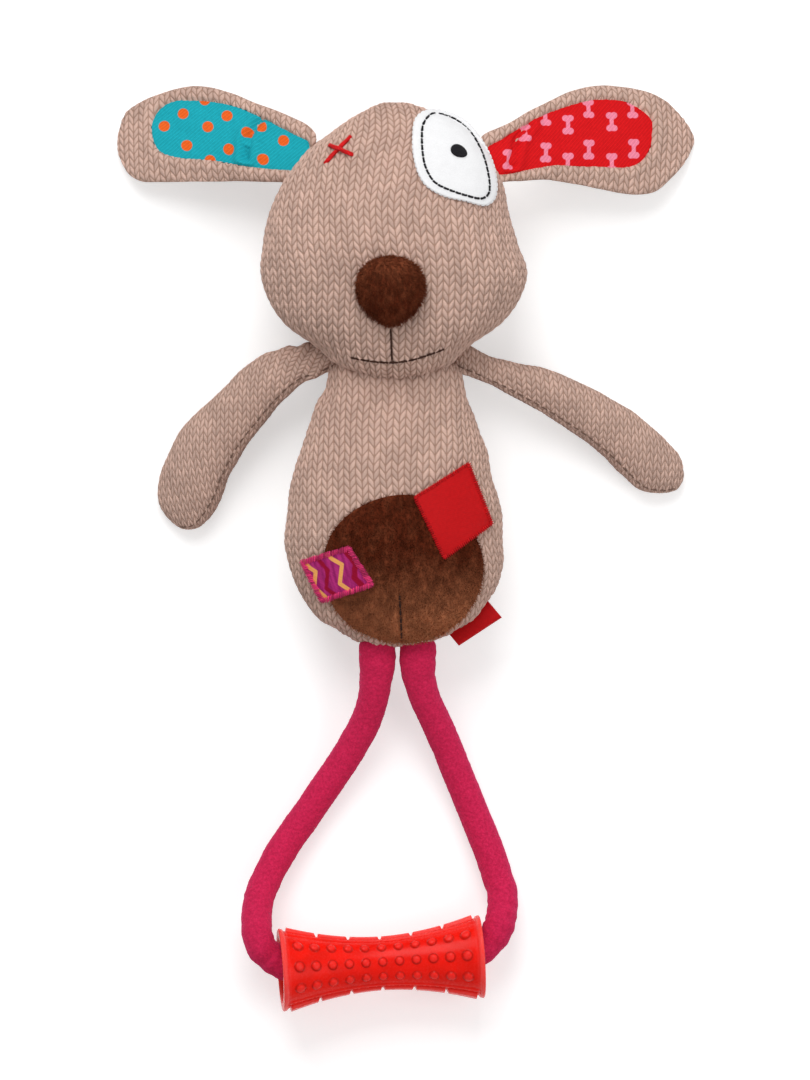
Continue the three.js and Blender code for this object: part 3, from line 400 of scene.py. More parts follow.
class Form:
    """A soft closed form: rings along Y with a left, a right and a depth, about a middle height."""

    def __init__(self, rings, power, middle, spacing):
        self.power = power
        self.middle = middle
        coarse = np.asarray(rings, dtype=float)
        tips = coarse[[0, -1]]
        tips[:, 1] = tips[:, 2] = tips[:, 1:3].mean(axis=1)
        tips[:, 3] = 0.0
        fine = smooth(np.vstack([tips[:1], coarse, tips[1:]]), 400)
        profile = np.column_stack([fine[:, 0], (fine[:, 2] - fine[:, 1]) / 2 + fine[:, 3]])
        self.rows = max(12, int(length_along(profile)[-1] / (1.2 * spacing)))
        self.rings = evenly(fine, self.rows + 2)[1:-1]
        girth = math.pi * (np.ptp(fine[:, 1:3]) / 2 + np.max(fine[:, 3]))
        self.sides = 4 * max(6, int(girth / (4 * spacing)))

    def grid(self):
        ratio = np.max(self.rings[:, 3]) / (np.ptp(self.rings[:, 1:3]) / 2)
        angle = side_angles(self.sides, self.power, ratio)
        x, z = superellipse(angle, self.power)
        centre = (self.rings[:, 1] + self.rings[:, 2]) / 2
        half = (self.rings[:, 2] - self.rings[:, 1]) / 2
        points = np.empty((self.rows, self.sides, 3))
        points[:, :, 0] = centre[:, None] + half[:, None] * x
        points[:, :, 1] = self.rings[:, 0][:, None]
        points[:, :, 2] = self.middle + self.rings[:, 3][:, None] * z
        return points

    def height(self, x, y):
        """How high the form's front stands at places in plan."""
        left = np.interp(y, self.rings[:, 0], self.rings[:, 1])
        right = np.interp(y, self.rings[:, 0], self.rings[:, 2])
        depth = np.interp(y, self.rings[:, 0], self.rings[:, 3])
        share = np.clip(np.abs((x - (left + right) / 2) / np.maximum((right - left) / 2, 1e-6)), 0, 0.995)
        return self.middle + depth * (1 - share ** self.power) ** (1 / self.power)

    def off(self, x, y, lift):
        """Points that stand off the front by a lift, each right above its place in plan."""
        lift = np.asarray(lift, dtype=float)
        foot_x, foot_y = x, y
        for _ in range(3):
            normal = self.normal(foot_x, foot_y)
            foot_x = x - normal[..., 0] * lift
            foot_y = y - normal[..., 1] * lift
        foot = np.stack([foot_x, foot_y, self.height(foot_x, foot_y)], axis=-1)
        return foot + normal * lift[..., None]

    def normal(self, x, y):
        reach = 0.4
        return unit(np.stack([
            (self.height(x - reach, y) - self.height(x + reach, y)) / (2 * reach),
            (self.height(x, y - reach) - self.height(x, y + reach)) / (2 * reach),
            np.ones_like(np.asarray(x, dtype=float)),
        ], axis=-1))


def panel_cloth(grid):
    """Cloth coordinates of a form sewn from a front and a back panel, in metres."""
    rows, sides, _ = grid.shape
    cloth = np.zeros((rows, sides, 3))
    quarter = sides // 4
    rise = length_along(grid[:, quarter])
    around = np.linalg.norm(np.diff(np.concatenate([grid, grid[:, :1]], axis=1), axis=1), axis=2)
    travelled = np.concatenate([np.zeros((rows, 1)), np.cumsum(around, axis=1)], axis=1)[:, :sides]
    front = travelled[:, quarter][:, None] - travelled
    back = travelled - travelled[:, 3 * quarter][:, None]
    cloth[:, :, 0] = np.where(np.arange(sides) <= 2 * quarter, front, back)
    cloth[:, :, 1] = rise[:, None]
    return cloth * MM


# Shader nodes

def node(tree, kind, **settings):
    made = tree.nodes.new(kind)
    for key, value in settings.items():
        setattr(made, key, value)
    return made


def feed(tree, socket, value):
    """Links a socket to another, or sets its value."""
    if isinstance(value, bpy.types.NodeSocket):
        tree.links.new(value, socket)
    elif isinstance(value, (tuple, list)) and len(value) == 3 and socket.type == "RGBA":
        socket.default_value = (*value, 1.0)
    else:
        socket.default_value = value


def sums(tree, operation, *values, clamp=False):
    made = node(tree, "ShaderNodeMath", operation=operation, use_clamp=clamp)
    for socket, value in zip(made.inputs, values):
        feed(tree, socket, value)
    return made.outputs[0]


def times(tree, first, second):
    return sums(tree, "MULTIPLY", first, second)


def plus(tree, first, second, clamp=False):
    return sums(tree, "ADD", first, second, clamp=clamp)


def mixed(tree, share, first, second, blend_type="MIX"):
    made = node(tree, "ShaderNodeMix", data_type="RGBA", blend_type=blend_type)
    feed(tree, made.inputs["Factor"], share)
    feed(tree, made.inputs[6], first)
    feed(tree, made.inputs[7], second)
    return made.outputs[2]


def between(tree, value, low, high, out_low=0.0, out_high=1.0, kind="SMOOTHSTEP"):
    made = node(tree, "ShaderNodeMapRange", interpolation_type=kind)
    keys = ("Value", "From Min", "From Max", "To Min", "To Max")
    for key, item in zip(keys, (value, low, high, out_low, out_high)):
        feed(tree, made.inputs[key], item)
    return made.outputs[0]


def zigzag(tree, value):
    """Runs from 1 at whole numbers down to 0 halfway between them."""
    off_middle = sums(tree, "SUBTRACT", sums(tree, "FRACT", value), 0.5)
    return times(tree, sums(tree, "ABSOLUTE", off_middle), 2.0)


def noise(tree, vector, scale, detail=2.0, stretch=None):
    """Soft noise over places, drawn out along an axis by a stretch below one."""
    if stretch is not None:
        scaled = node(tree, "ShaderNodeVectorMath", operation="MULTIPLY")
        feed(tree, scaled.inputs[0], vector)
        scaled.inputs[1].default_value = stretch
        vector = scaled.outputs[0]
    made = node(tree, "ShaderNodeTexNoise")
    feed(tree, made.inputs["Vector"], vector)
    feed(tree, made.inputs["Scale"], scale)
    made.inputs["Detail"].default_value = detail
    return made.outputs[0]


def group_tree(name, inputs, outputs):
    """A new node group with its sockets, seen from inside it."""
    tree = bpy.data.node_groups.new(name, "ShaderNodeTree")
    for key, kind, value in inputs:
        socket = tree.interface.new_socket(name=key, in_out="INPUT", socket_type=kind)
        if value is not None:
            socket.default_value = value
    for key, kind in outputs:
        tree.interface.new_socket(name=key, in_out="OUTPUT", socket_type=kind)
    inside = node(tree, "NodeGroupInput").outputs
    outside = node(tree, "NodeGroupOutput").inputs
    return tree, inside, outside


def stitch_group(name):
    """Rows of V-shaped knit stitches over cloth coordinates."""
    tree, inside, outside = group_tree(
        name,
        [("Cloth", "NodeSocketVector", None), ("Wale", "NodeSocketFloat", 0.004),
         ("Course", "NodeSocketFloat", 0.0028), ("Lean", "NodeSocketFloat", 1.15)],
        [("Height", "NodeSocketFloat"), ("Shade", "NodeSocketFloat"), ("Strand", "NodeSocketFloat")],
    )
    split = node(tree, "ShaderNodeSeparateXYZ")
    feed(tree, split.inputs[0], inside["Cloth"])
    wale = sums(tree, "DIVIDE", split.outputs[0], inside["Wale"])
    across = zigzag(tree, wale)
    row = sums(
        tree, "SUBTRACT", sums(tree, "DIVIDE", split.outputs[1], inside["Course"]),
        times(tree, across, inside["Lean"]),
    )
    over = zigzag(tree, row)
    round_off = sums(tree, "SUBTRACT", 1.0, sums(tree, "POWER", over, STRAND_ROUNDNESS), clamp=True)
    edge = sums(tree, "ABSOLUTE", sums(tree, "SUBTRACT", times(tree, across, 2.0), 1.0))
    taper = sums(tree, "SUBTRACT", 1.0, sums(tree, "POWER", edge, STRAND_TAPER), clamp=True)
    feed(tree, outside["Height"], times(tree, round_off, taper))
    cell = node(tree, "ShaderNodeCombineXYZ")
    feed(tree, cell.inputs[0], sums(tree, "FLOOR", times(tree, wale, 2.0)))
    feed(tree, cell.inputs[1], sums(tree, "FLOOR", row))
    spot = node(tree, "ShaderNodeTexWhiteNoise", noise_dimensions="2D")
    feed(tree, spot.inputs["Vector"], cell.outputs[0])
    feed(tree, outside["Shade"], spot.outputs["Value"])
    twist = plus(tree, over, times(tree, across, 1.4))
    plies = sums(tree, "SINE", times(tree, twist, 15.0))
    feed(tree, outside["Strand"], plus(tree, times(tree, plies, 0.5), 0.5))


def fibre_group(name):
    """Short loose fibres: a fine height and a slow change of tone."""
    tree, inside, outside = group_tree(
        name,
        [("Place", "NodeSocketVector", None), ("Fineness", "NodeSocketFloat", 3000.0),
         ("Clump", "NodeSocketFloat", 260.0)],
        [("Height", "NodeSocketFloat"), ("Tone", "NodeSocketFloat")],
    )
    fine = noise(tree, inside["Place"], inside["Fineness"], 3.0)
    clump = noise(tree, inside["Place"], inside["Clump"], 4.0)
    feed(tree, outside["Height"], plus(tree, fine, times(tree, clump, 0.6)))
    feed(tree, outside["Tone"], clump)


def weave_group(name):
    """A woven cloth: warp and weft threads that pass over each other, with a diagonal rib."""
    tree, inside, outside = group_tree(
        name,
        [("Cloth", "NodeSocketVector", None), ("Pitch", "NodeSocketFloat", 0.0007),
         ("Rib", "NodeSocketFloat", 1.0)],
        [("Height", "NodeSocketFloat"), ("Tone", "NodeSocketFloat")],
    )
    split = node(tree, "ShaderNodeSeparateXYZ")
    feed(tree, split.inputs[0], inside["Cloth"])
    turn = 2 * math.pi
    u = times(tree, sums(tree, "DIVIDE", split.outputs[0], inside["Pitch"]), turn)
    v = times(tree, sums(tree, "DIVIDE", split.outputs[1], inside["Pitch"]), turn)
    rib = sums(tree, "SINE", times(tree, plus(tree, u, v), 0.5))
    cross = times(tree, sums(tree, "SINE", u), sums(tree, "SINE", v))
    ribbed = times(tree, rib, inside["Rib"])
    raised = plus(tree, times(tree, plus(tree, ribbed, cross), 0.25), 0.5)
    feed(tree, outside["Height"], raised)
    feed(tree, outside["Tone"], noise(tree, inside["Cloth"], 900.0))


GROUPS = {"Knit stitches": stitch_group, "Loose fibres": fibre_group, "Woven threads": weave_group}


def placed(tree, name, **inputs):
    """Places a shared node group, which is built the first time that a material asks for it."""
    if name not in bpy.data.node_groups:
        GROUPS[name](name)
    made = node(tree, "ShaderNodeGroup", node_tree=bpy.data.node_groups[name])
    for key, value in inputs.items():
        feed(tree, made.inputs[key], value)
    return made.outputs


def settle(shader, values):
    """Sets a shader's own sockets."""
    for key, value in values.items():
        shader.inputs[key].default_value = value


def new_material(name, roughness, sheen=0.0, specular=0.3):
    material = bpy.data.materials.new(name)
    material.use_nodes = True
    tree = material.node_tree
    shader = tree.nodes["Principled BSDF"]
    settle(shader, {
        "Roughness": roughness, "Sheen Weight": sheen, "Sheen Roughness": 0.4, "Specular IOR Level": specular,
    })
    return material, tree, shader


def attribute(tree, name, output="Vector"):
    return node(tree, "ShaderNodeAttribute", attribute_name=name).outputs[output]


def whereabouts(tree):
    return node(tree, "ShaderNodeTexCoord").outputs["Object"]


def raise_bumps(tree, shader, height, distance, strength=1.0):
    bump = node(tree, "ShaderNodeBump")
    settle(bump, {"Strength": strength, "Distance": distance})
    feed(tree, bump.inputs["Height"], height)
    feed(tree, shader.inputs["Normal"], bump.outputs[0])


# Finishes

def knit_finish(colours, fabric):
    material, tree, shader = new_material("Taupe knit", 0.95, sheen=0.05, specular=0.06)
    stitches = placed(
        tree, "Knit stitches", Cloth=attribute(tree, "cloth"), Wale=fabric.wale, Course=fabric.course,
        Lean=KNIT_LEAN,
    )
    fibres = placed(tree, "Loose fibres", Place=whereabouts(tree), Fineness=2600.0, Clump=90.0)
    # painted shade: the yarn's colour darkens into the gaps between the stitches
    depth = between(tree, stitches["Height"], 0.0, 0.62)
    tone = mixed(tree, depth, tuple(colours.gap), tuple(colours.yarn))
    ply = between(tree, stitches["Strand"], 0.0, 1.0, 0.93, 1.04, "LINEAR")
    each = between(tree, stitches["Shade"], 0.0, 1.0, 0.88, 1.09, "LINEAR")
    slow = between(tree, fibres["Tone"], 0.3, 0.7, 0.95, 1.05)
    level = times(tree, times(tree, ply, each), slow)
    shaded(tree, shader, tone, level)
    strands = times(tree, stitches["Strand"], 0.12)
    fine = plus(tree, times(tree, fibres["Height"], 0.3), strands)
    raise_bumps(tree, shader, plus(tree, stitches["Height"], fine), 0.0006, 0.75)
    return material


def shaded(tree, shader, tone, level):
    """Feeds a colour times a grey level to the shader."""
    grey = node(tree, "ShaderNodeCombineColor")
    for socket in grey.inputs[:3]:
        feed(tree, socket, level)
    feed(tree, shader.inputs["Base Color"], mixed(tree, 1.0, tone, grey.outputs[0], "MULTIPLY"))


def pile_finish(name, tint, painted_highlight, fineness, clump, variation, sheen, distance, stretch=(1.0, 0.35, 1.0)):
    """Plush or velour: short fibres in brushed streaks, and a painted highlight that makes them paler where
    its mark says so.
    """
    material, tree, shader = new_material(name, 0.9, sheen=sheen, specular=0.04)
    settle(shader, {"Sheen Tint": (*[min(1.0, c * 1.5 + 0.03) for c in painted_highlight], 1.0)})
    fibres = placed(tree, "Loose fibres", Place=whereabouts(tree), Fineness=fineness, Clump=clump)
    streaks = noise(tree, whereabouts(tree), clump * 1.6, 4.0, stretch)
    brushed = between(tree, streaks, 0.3, 0.7, -0.05, 0.06)
    # painted highlight: the mark mixes in the paler colour, with the random brushed streaks on top; the same
    # colour also tints the sheen
    pale = plus(tree, attribute(tree, "painted_highlight", "Fac"), brushed, clamp=True)
    tone = mixed(tree, pale, tint, painted_highlight)
    lay = plus(tree, times(tree, fibres["Tone"], 0.5), times(tree, streaks, 0.5))
    patchy = between(tree, lay, 0.32, 0.68, 1.0 - variation, 1.0 + variation)
    fine = between(tree, fibres["Height"], 0.5, 1.1, 0.88, 1.12, "LINEAR")
    shaded(tree, shader, tone, times(tree, patchy, fine))
    raise_bumps(tree, shader, fibres["Height"], distance, 0.8)
    return material


def thread_finish(name, tint, roughness=0.7, variation=0.06):
    """Twisted thread, each stitch a little lighter or darker than the next."""
    material, tree, shader = new_material(name, roughness, sheen=0.04, specular=0.12)
    strands = noise(tree, attribute(tree, "cloth"), 1500.0, 2.0, stretch=(0.25, 1.0, 1.0))
    tone = mixed(tree, between(tree, strands, 0.35, 0.65), tuple(c * 0.7 for c in tint), tint)
    level = attribute(tree, "stitch", "Fac")
    each = between(tree, level, 0.0, 1.0, 1.0 - variation, 1.0 + variation, "LINEAR")
    shaded(tree, shader, tone, each)
    raise_bumps(tree, shader, strands, 0.0002, 0.7)
    return material


def woven_finish(name, pitch, rib, roughness=0.75, bump=0.00018):
    """A plain woven cloth: its material and tree, and a function that paints a colour under the weave."""
    material, tree, shader = new_material(name, roughness, sheen=0.0, specular=0.08)
    weave = placed(tree, "Woven threads", Cloth=attribute(tree, "cloth"), Pitch=pitch, Rib=rib)
    light = between(tree, weave["Height"], 0.1, 0.9, 0.82, 1.1, "LINEAR")
    speck = between(tree, weave["Tone"], 0.3, 0.7, 0.94, 1.06, "LINEAR")
    level = times(tree, light, speck)
    raise_bumps(tree, shader, weave["Height"], bump, 0.9)

    def paint(tone):
        shaded(tree, shader, tone, level)

    return material, tree, paint


def printed(tree, mark, edge=0.00015):
    """The share of a print that covers a place, from its distance mark in metres, negative inside."""
    return between(tree, attribute(tree, mark, "Fac"), -edge, edge, 1.0, 0.0)


def dotted_finish(colours):
    material, tree, paint = woven_finish("Turquoise twill", 0.00075, 1.0)
    paint(mixed(tree, printed(tree, "dots"), tuple(colours.turquoise), tuple(colours.orange)))
    return material


def bone_finish(colours):
    material, tree, paint = woven_finish("Red twill", 0.00075, 1.0)
    paint(mixed(tree, printed(tree, "bones"), tuple(colours.red), tuple(colours.pink)))
    return material


def ribbon_finish(colours):
    ground = tuple(colours.purple)
    material, tree, paint = woven_finish("Zigzag ribbon", 0.0006, 0.4, roughness=0.55)
    floats = noise(tree, attribute(tree, "cloth"), 900.0, 2.0, (1.0, 0.12, 1.0))
    satin = between(tree, floats, 0.35, 0.65, 0.0, 0.45)
    lit = mixed(tree, satin, ground, tuple(c * 2.2 + 0.02 for c in ground))
    striped = mixed(tree, printed(tree, "stripes", 0.0003), lit, tuple(colours.crimson))
    paint(mixed(tree, printed(tree, "zigzags", 0.0001), striped, tuple(colours.yellow)))
    return material


def label_finish(colours):
    material, _, paint = woven_finish("Red label ribbon", 0.0005, 0.25, roughness=0.5, bump=0.00012)
    paint(tuple(c * 0.8 for c in colours.red))
    return material


def felt_finish(colours):
    tint = tuple(colours.felt)
    material, tree, shader = new_material("White felt", 0.8, sheen=0.15, specular=0.2)
    fibres = placed(tree, "Loose fibres", Place=whereabouts(tree), Fineness=2200.0, Clump=300.0)
    tone = mixed(tree, between(tree, fibres["Height"], 0.5, 1.1), tuple(c * 0.93 for c in tint), tint)
    feed(tree, shader.inputs["Base Color"], tone)
    raise_bumps(tree, shader, fibres["Height"], 0.00012, 0.5)
    return material


def rubber_finish(colours):
    """Soft rubber that scatters light, with painted light in its colour: a painted glow on the raised planks,
    ribs and rims and near the ends, as if lit through the rubber, and painted shade in dark rings round the
    nubs.
    """
    tint = tuple(colours.rubber)
    material, tree, shader = new_material("Red rubber", 0.22, specular=0.13)
    settle(shader, {
        "Subsurface Weight": 0.4, "Subsurface Radius": (1.0, 0.1, 0.05), "Subsurface Scale": 0.0025,
    })
    # painted glow: paler where the rubber stands up and near the ends
    painted_glow = between(tree, attribute(tree, "painted_glow", "Fac"), 0.0, 1.0)
    pale = tuple(min(1.0, c * 1.12 + 0.06) for c in tint)
    swirl = noise(tree, whereabouts(tree), 120.0, 3.0)
    body = mixed(tree, between(tree, swirl, 0.3, 0.7), tint, tuple(c * 0.86 for c in tint))
    # painted shade: darker rings round the nubs' feet
    ring = between(tree, attribute(tree, "ring", "Fac"), 0.0, 1.2)
    tone = mixed(tree, ring, mixed(tree, painted_glow, body, pale), tuple(c * 0.58 for c in tint))
    feed(tree, shader.inputs["Base Color"], tone)
    fine = noise(tree, whereabouts(tree), 900.0, 2.0)
    feed(tree, shader.inputs["Roughness"], between(tree, fine, 0.3, 0.7, 0.2, 0.32, "LINEAR"))
    raise_bumps(tree, shader, fine, 0.00004, 0.35)
    return material


def fibre_finish():
    material, tree, shader = new_material("Fibre filling", 0.9, sheen=0.2, specular=0.1)
    fibres = placed(tree, "Loose fibres", Place=whereabouts(tree), Fineness=1200.0, Clump=200.0)
    wool = mixed(tree, fibres["Tone"], (0.82, 0.81, 0.78), (0.93, 0.92, 0.9))
    feed(tree, shader.inputs["Base Color"], wool)
    raise_bumps(tree, shader, fibres["Height"], 0.001, 0.8)
    return material


def moulded_finish(name, tint, roughness):
    material, tree, shader = new_material(name, roughness, specular=0.4)
    fine = noise(tree, whereabouts(tree), 1400.0, 2.0)
    feed(tree, shader.inputs["Base Color"], mixed(tree, fine, tint, tuple(c * 0.94 for c in tint)))
    raise_bumps(tree, shader, fine, 0.00004, 0.4)
    return material


def rope_finish():
    material, tree, shader = new_material("Rope core", 0.85, sheen=0.15, specular=0.2)
    wave = node(tree, "ShaderNodeTexWave", wave_type="BANDS", bands_direction="DIAGONAL")
    feed(tree, wave.inputs["Vector"], whereabouts(tree))
    wave.inputs["Scale"].default_value = 120.0
    twine = mixed(tree, wave.outputs["Fac"], (0.55, 0.5, 0.42), (0.82, 0.78, 0.7))
    feed(tree, shader.inputs["Base Color"], twine)
    raise_bumps(tree, shader, wave.outputs["Fac"], 0.0006, 0.8)
    return material


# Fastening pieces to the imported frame

def finish_node(name, material):
    """Gives a carried-over solid its finish."""
    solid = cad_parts[name]
    solid.data.materials.clear()
    solid.data.materials.append(material)


def sew(piece, body, slot, *nodes):
    """Fastens a piece to a body; it stands for the solids that it hides. The slot is not used."""
    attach(piece, body)
    if nodes:
        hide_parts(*nodes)


def sew_limb(piece, base, body, to_place, slot, *nodes):
    """Bakes a piece's place into its mesh and hides the solids that it stands for; the piece is already
    folded at the limb's seam by its placing. Its base, body and slot are not used.
    """
    start = place(to_place.seam - to_place.out * BEND_BEFORE_SEAM)
    end = place(to_place.seam + to_place.out * BEND_AFTER_SEAM)
    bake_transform(piece)
    if nodes:
        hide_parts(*nodes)


# Knitted and stuffed pieces

def knit_relief(cloth, fabric):
    """Height of the stitches over cloth coordinates, the same pattern as the knit's finish."""
    across = 2 * np.abs((cloth[..., 0] / fabric.wale) % 1.0 - 0.5)
    row = cloth[..., 1] / fabric.course - across * KNIT_LEAN
    over = 2 * np.abs(row % 1.0 - 0.5)
    round_off = np.clip(1 - over ** STRAND_ROUNDNESS, 0, 1)
    taper = np.clip(1 - np.abs(2 * across - 1) ** STRAND_TAPER, 0, 1)
    return round_off * taper


def sway_cloth(cloth, points, amount=0.7, seed=3):
    """Lets the rows of stitches wander a little, as hand-cut cloth does."""
    moved = cloth.copy()
    moved[..., 0] += grain(points, 38.0, seed) * amount * MM
    moved[..., 1] += grain(points, 38.0, seed + 1) * amount * MM
    return moved


def body_form(spacing):
    rings = [
        (y * BODY_HEIGHT, left * BODY_HALF_WIDTH, right * BODY_HALF_WIDTH, depth * BODY_HALF_DEPTH)
        for y, left, right, depth in BODY_SHARES
    ]
    for turn in (0.0, 22.5, 45.0, 67.5):
        rise, reach = math.sin(math.radians(turn)), math.cos(math.radians(turn))
        rings.append((
            BODY_HEIGHT + NECK_RADIUS * rise, -NECK_HALF_WIDTH * reach, NECK_HALF_WIDTH * reach,
            NECK_RADIUS * reach,
        ))
    return Form(rings, BODY_POWER, BODY_MIDDLE, spacing)


def head_form(spacing):
    rings = [
        (CHIN_Y + y * HEAD_HEIGHT, left * HEAD_HALF_WIDTH, right * HEAD_HALF_WIDTH, depth * HEAD_HALF_DEPTH)
        for y, left, right, depth in HEAD_SHARES
    ]
    return Form(rings, HEAD_POWER, HEAD_MIDDLE, spacing)


def limb_form(limb, spacing):
    rings = [
        (y * limb["length"], left * limb["width"], right * limb["width"], depth * limb["half_depth"])
        for y, left, right, depth in limb["shares"]
    ]
    return Form(rings, 2.0, 0.0, spacing)


def turned(axis, angle):
    """A rotation about an axis by an angle in radians."""
    x, y, z = unit(np.asarray(axis, dtype=float))
    c, s = math.cos(angle), math.sin(angle)
    return np.array([
        [c + x * x * (1 - c), x * y * (1 - c) - z * s, x * z * (1 - c) + y * s],
        [y * x * (1 - c) + z * s, c + y * y * (1 - c), y * z * (1 - c) - x * s],
        [z * x * (1 - c) - y * s, z * y * (1 - c) + x * s, c + z * z * (1 - c)],
    ])


class LimbPlace:
    """Lays a flat limb out from its root and folds it down until its tip rests on the floor."""

    def __init__(self, limb):
        heading = math.radians(limb["heading"])
        out = math.radians(limb["seam_heading"] - limb["side"] * 90)
        seam = np.array([*limb["seam"], 0.0])
        self.seam = np.array([*limb["seam"], limb["height"]])
        self.root = np.array([*limb["root"], 0.0])
        self.turn = heading - math.pi / 2
        self.lay = turned((0, 0, 1), self.turn)
        share, left, right, depth = np.array(limb["shares"]).T
        across = (left + right) / 2 * limb["width"]
        along = share * limb["length"]
        x = self.root[0] + along * math.cos(heading) + across * math.sin(heading) - seam[0]
        y = self.root[1] + along * math.sin(heading) - across * math.cos(heading) - seam[1]
        reach = x * math.cos(out) + y * math.sin(out)
        thick = depth * limb["half_depth"]
        droops = np.zeros(len(share))
        for _ in range(8):
            drop = limb["height"] + FLOOR_CUT - thick * np.cos(droops)
            droops = np.arctan2(drop, np.maximum(reach, thick))
        droop = float(droops.min())
        self.seam_in_plan = seam
        spin = turned((0, 0, 1), out)
        self.stretch = spin @ np.diag([1 / math.cos(droop), 1, 1]) @ spin.T
        hinge = math.radians(limb["seam_heading"])
        self.fold = turned((math.cos(hinge), math.sin(hinge), 0), limb["side"] * droop)
        self.out = np.array([math.cos(out), math.sin(out), 0.0])

    def __call__(self, points):
        laid = np.asarray(points) @ self.lay.T + self.root
        pulled = (laid - self.seam_in_plan) @ self.stretch.T
        return pulled @ self.fold.T + self.seam

    def in_plan(self, points):
        """Places of the photographed front, laid back into the limb's own plan."""
        spots = np.column_stack([points, np.zeros(len(points))])
        return ((spots - self.root) @ self.lay)[:, :2]


def keep_above_floor(points, low=0.05, soft=0.9):
    """Presses what comes near the floor or lies below it into a thin layer on it, in its own order."""
    pressed = points.copy()
    high = pressed[..., 2]
    near = low + soft * np.exp(np.minimum(high - low - soft, 0.0) / soft)
    pressed[..., 2] = np.where(high < low + soft, near, high)
    return pressed


class Stuffing:
    """How far a stuffed skin stands off its form: cloth pinned at its seams and pumped up by simulation."""
    SCALE = 0.01
    INWARD = 0.6
    OUTWARD = 1.1
    FRAMES = 20
    SWELLING = 18
    PINNED_START = 2
    CLOTH = {
        "quality": 5, "mass": 0.02, "tension_stiffness": 20, "compression_stiffness": 20,
        "shear_stiffness": 8, "bending_stiffness": 0.02, "use_pressure": True, "uniform_pressure_force": 4,
        "shrink_min": -0.06, "vertex_group_mass": "seams",
    }

    def __init__(self, name, form, strength=0.65, pinned_end=1):
        self.form = form
        grid = form.grid()
        self.rise = np.zeros(grid.shape[:2])
        rows, sides, _ = grid.shape
        faces = tube_faces(rows, sides, ends=False)
        piece = add_mesh(f"{name}_simulated", grid * self.SCALE, faces)
        held = np.zeros((rows, sides), dtype=bool)
        held[:self.PINNED_START] = held[rows - pinned_end:] = True
        held[:, 0] = held[:, sides // 2] = True
        piece.vertex_groups.new(name="seams").add(np.flatnonzero(held.ravel()).tolist(), 1.0, "REPLACE")
        self.pump(piece)
        moved = np.empty(rows * sides * 3)
        evaluated = piece.evaluated_get(bpy.context.evaluated_depsgraph_get())
        evaluated.data.vertices.foreach_get("co", moved)
        bpy.context.scene.frame_set(1)
        bpy.data.objects.remove(piece)
        shift = moved.reshape(grid.shape) / self.SCALE - grid
        rise = self.eased(np.sum(shift * grid_normals(grid), axis=2), 1)
        rise = (rise - self.eased(rise, self.SWELLING)) * strength
        self.rise = np.clip(rise, -self.INWARD * strength, self.OUTWARD)

    def pump(self, piece):
        cloth = piece.modifiers.new("Cloth", "CLOTH")
        for key, value in self.CLOTH.items():
            setattr(cloth.settings, key, value)
        cloth.settings.effector_weights.gravity = 0
        cloth.point_cache.frame_end = self.FRAMES
        for step in range(1, self.FRAMES + 1):
            bpy.context.scene.frame_set(step)

    def eased(self, values, rounds):
        for _ in range(rounds):
            around = (np.roll(values, 1, axis=1) + np.roll(values, -1, axis=1) + 2 * values) / 4
            ends = np.vstack([around[:1], around, around[-1:]])
            values = (ends[:-2] + ends[2:] + 2 * ends[1:-1]) / 4
        return values

    def sample(self, along, around):
        """The rise at shares along the form and around it."""
        rows, sides = self.rise.shape
        row = np.clip(along * (rows + 1) - 1, 0, rows - 1.001)
        side = (around % 1.0) * sides
        r, s = row.astype(int), side.astype(int) % sides
        u = soft_step(row - r, 0, 1)
        v = soft_step(side - np.floor(side), 0, 1)
        after = (s + 1) % sides
        near = self.rise[r, s] * (1 - v) + self.rise[r, after] * v
        far = self.rise[r + 1, s] * (1 - v) + self.rise[r + 1, after] * v
        return near * (1 - u) + far * u

    def on_grid(self, rows, sides):
        along = (np.arange(rows) + 1) / (rows + 1)
        around = np.arange(sides) / sides
        return self.sample(*np.meshgrid(along, around, indexing="ij"))

    def above(self, x, y):
        """The rise of the front above places in plan."""
        rings = self.form.rings
        shares = (np.arange(len(rings)) + 1) / (len(rings) + 1)
        left, right = (np.interp(y, rings[:, 0], rings[:, k]) for k in (1, 2))
        across = np.clip((x - (left + right) / 2) / np.maximum((right - left) / 2, 1e-6), -1, 1)
        ratio = np.max(rings[:, 3]) / (np.ptp(rings[:, 1:3]) / 2)
        angles = side_angles(self.form.sides, self.form.power, ratio)[:self.form.sides // 2 + 1]
        spots, _ = superellipse(angles, self.form.power)
        around = np.interp(-across, -spots, np.arange(len(spots)) / self.form.sides)
        return self.sample(np.interp(y, rings[:, 0], shares), around)


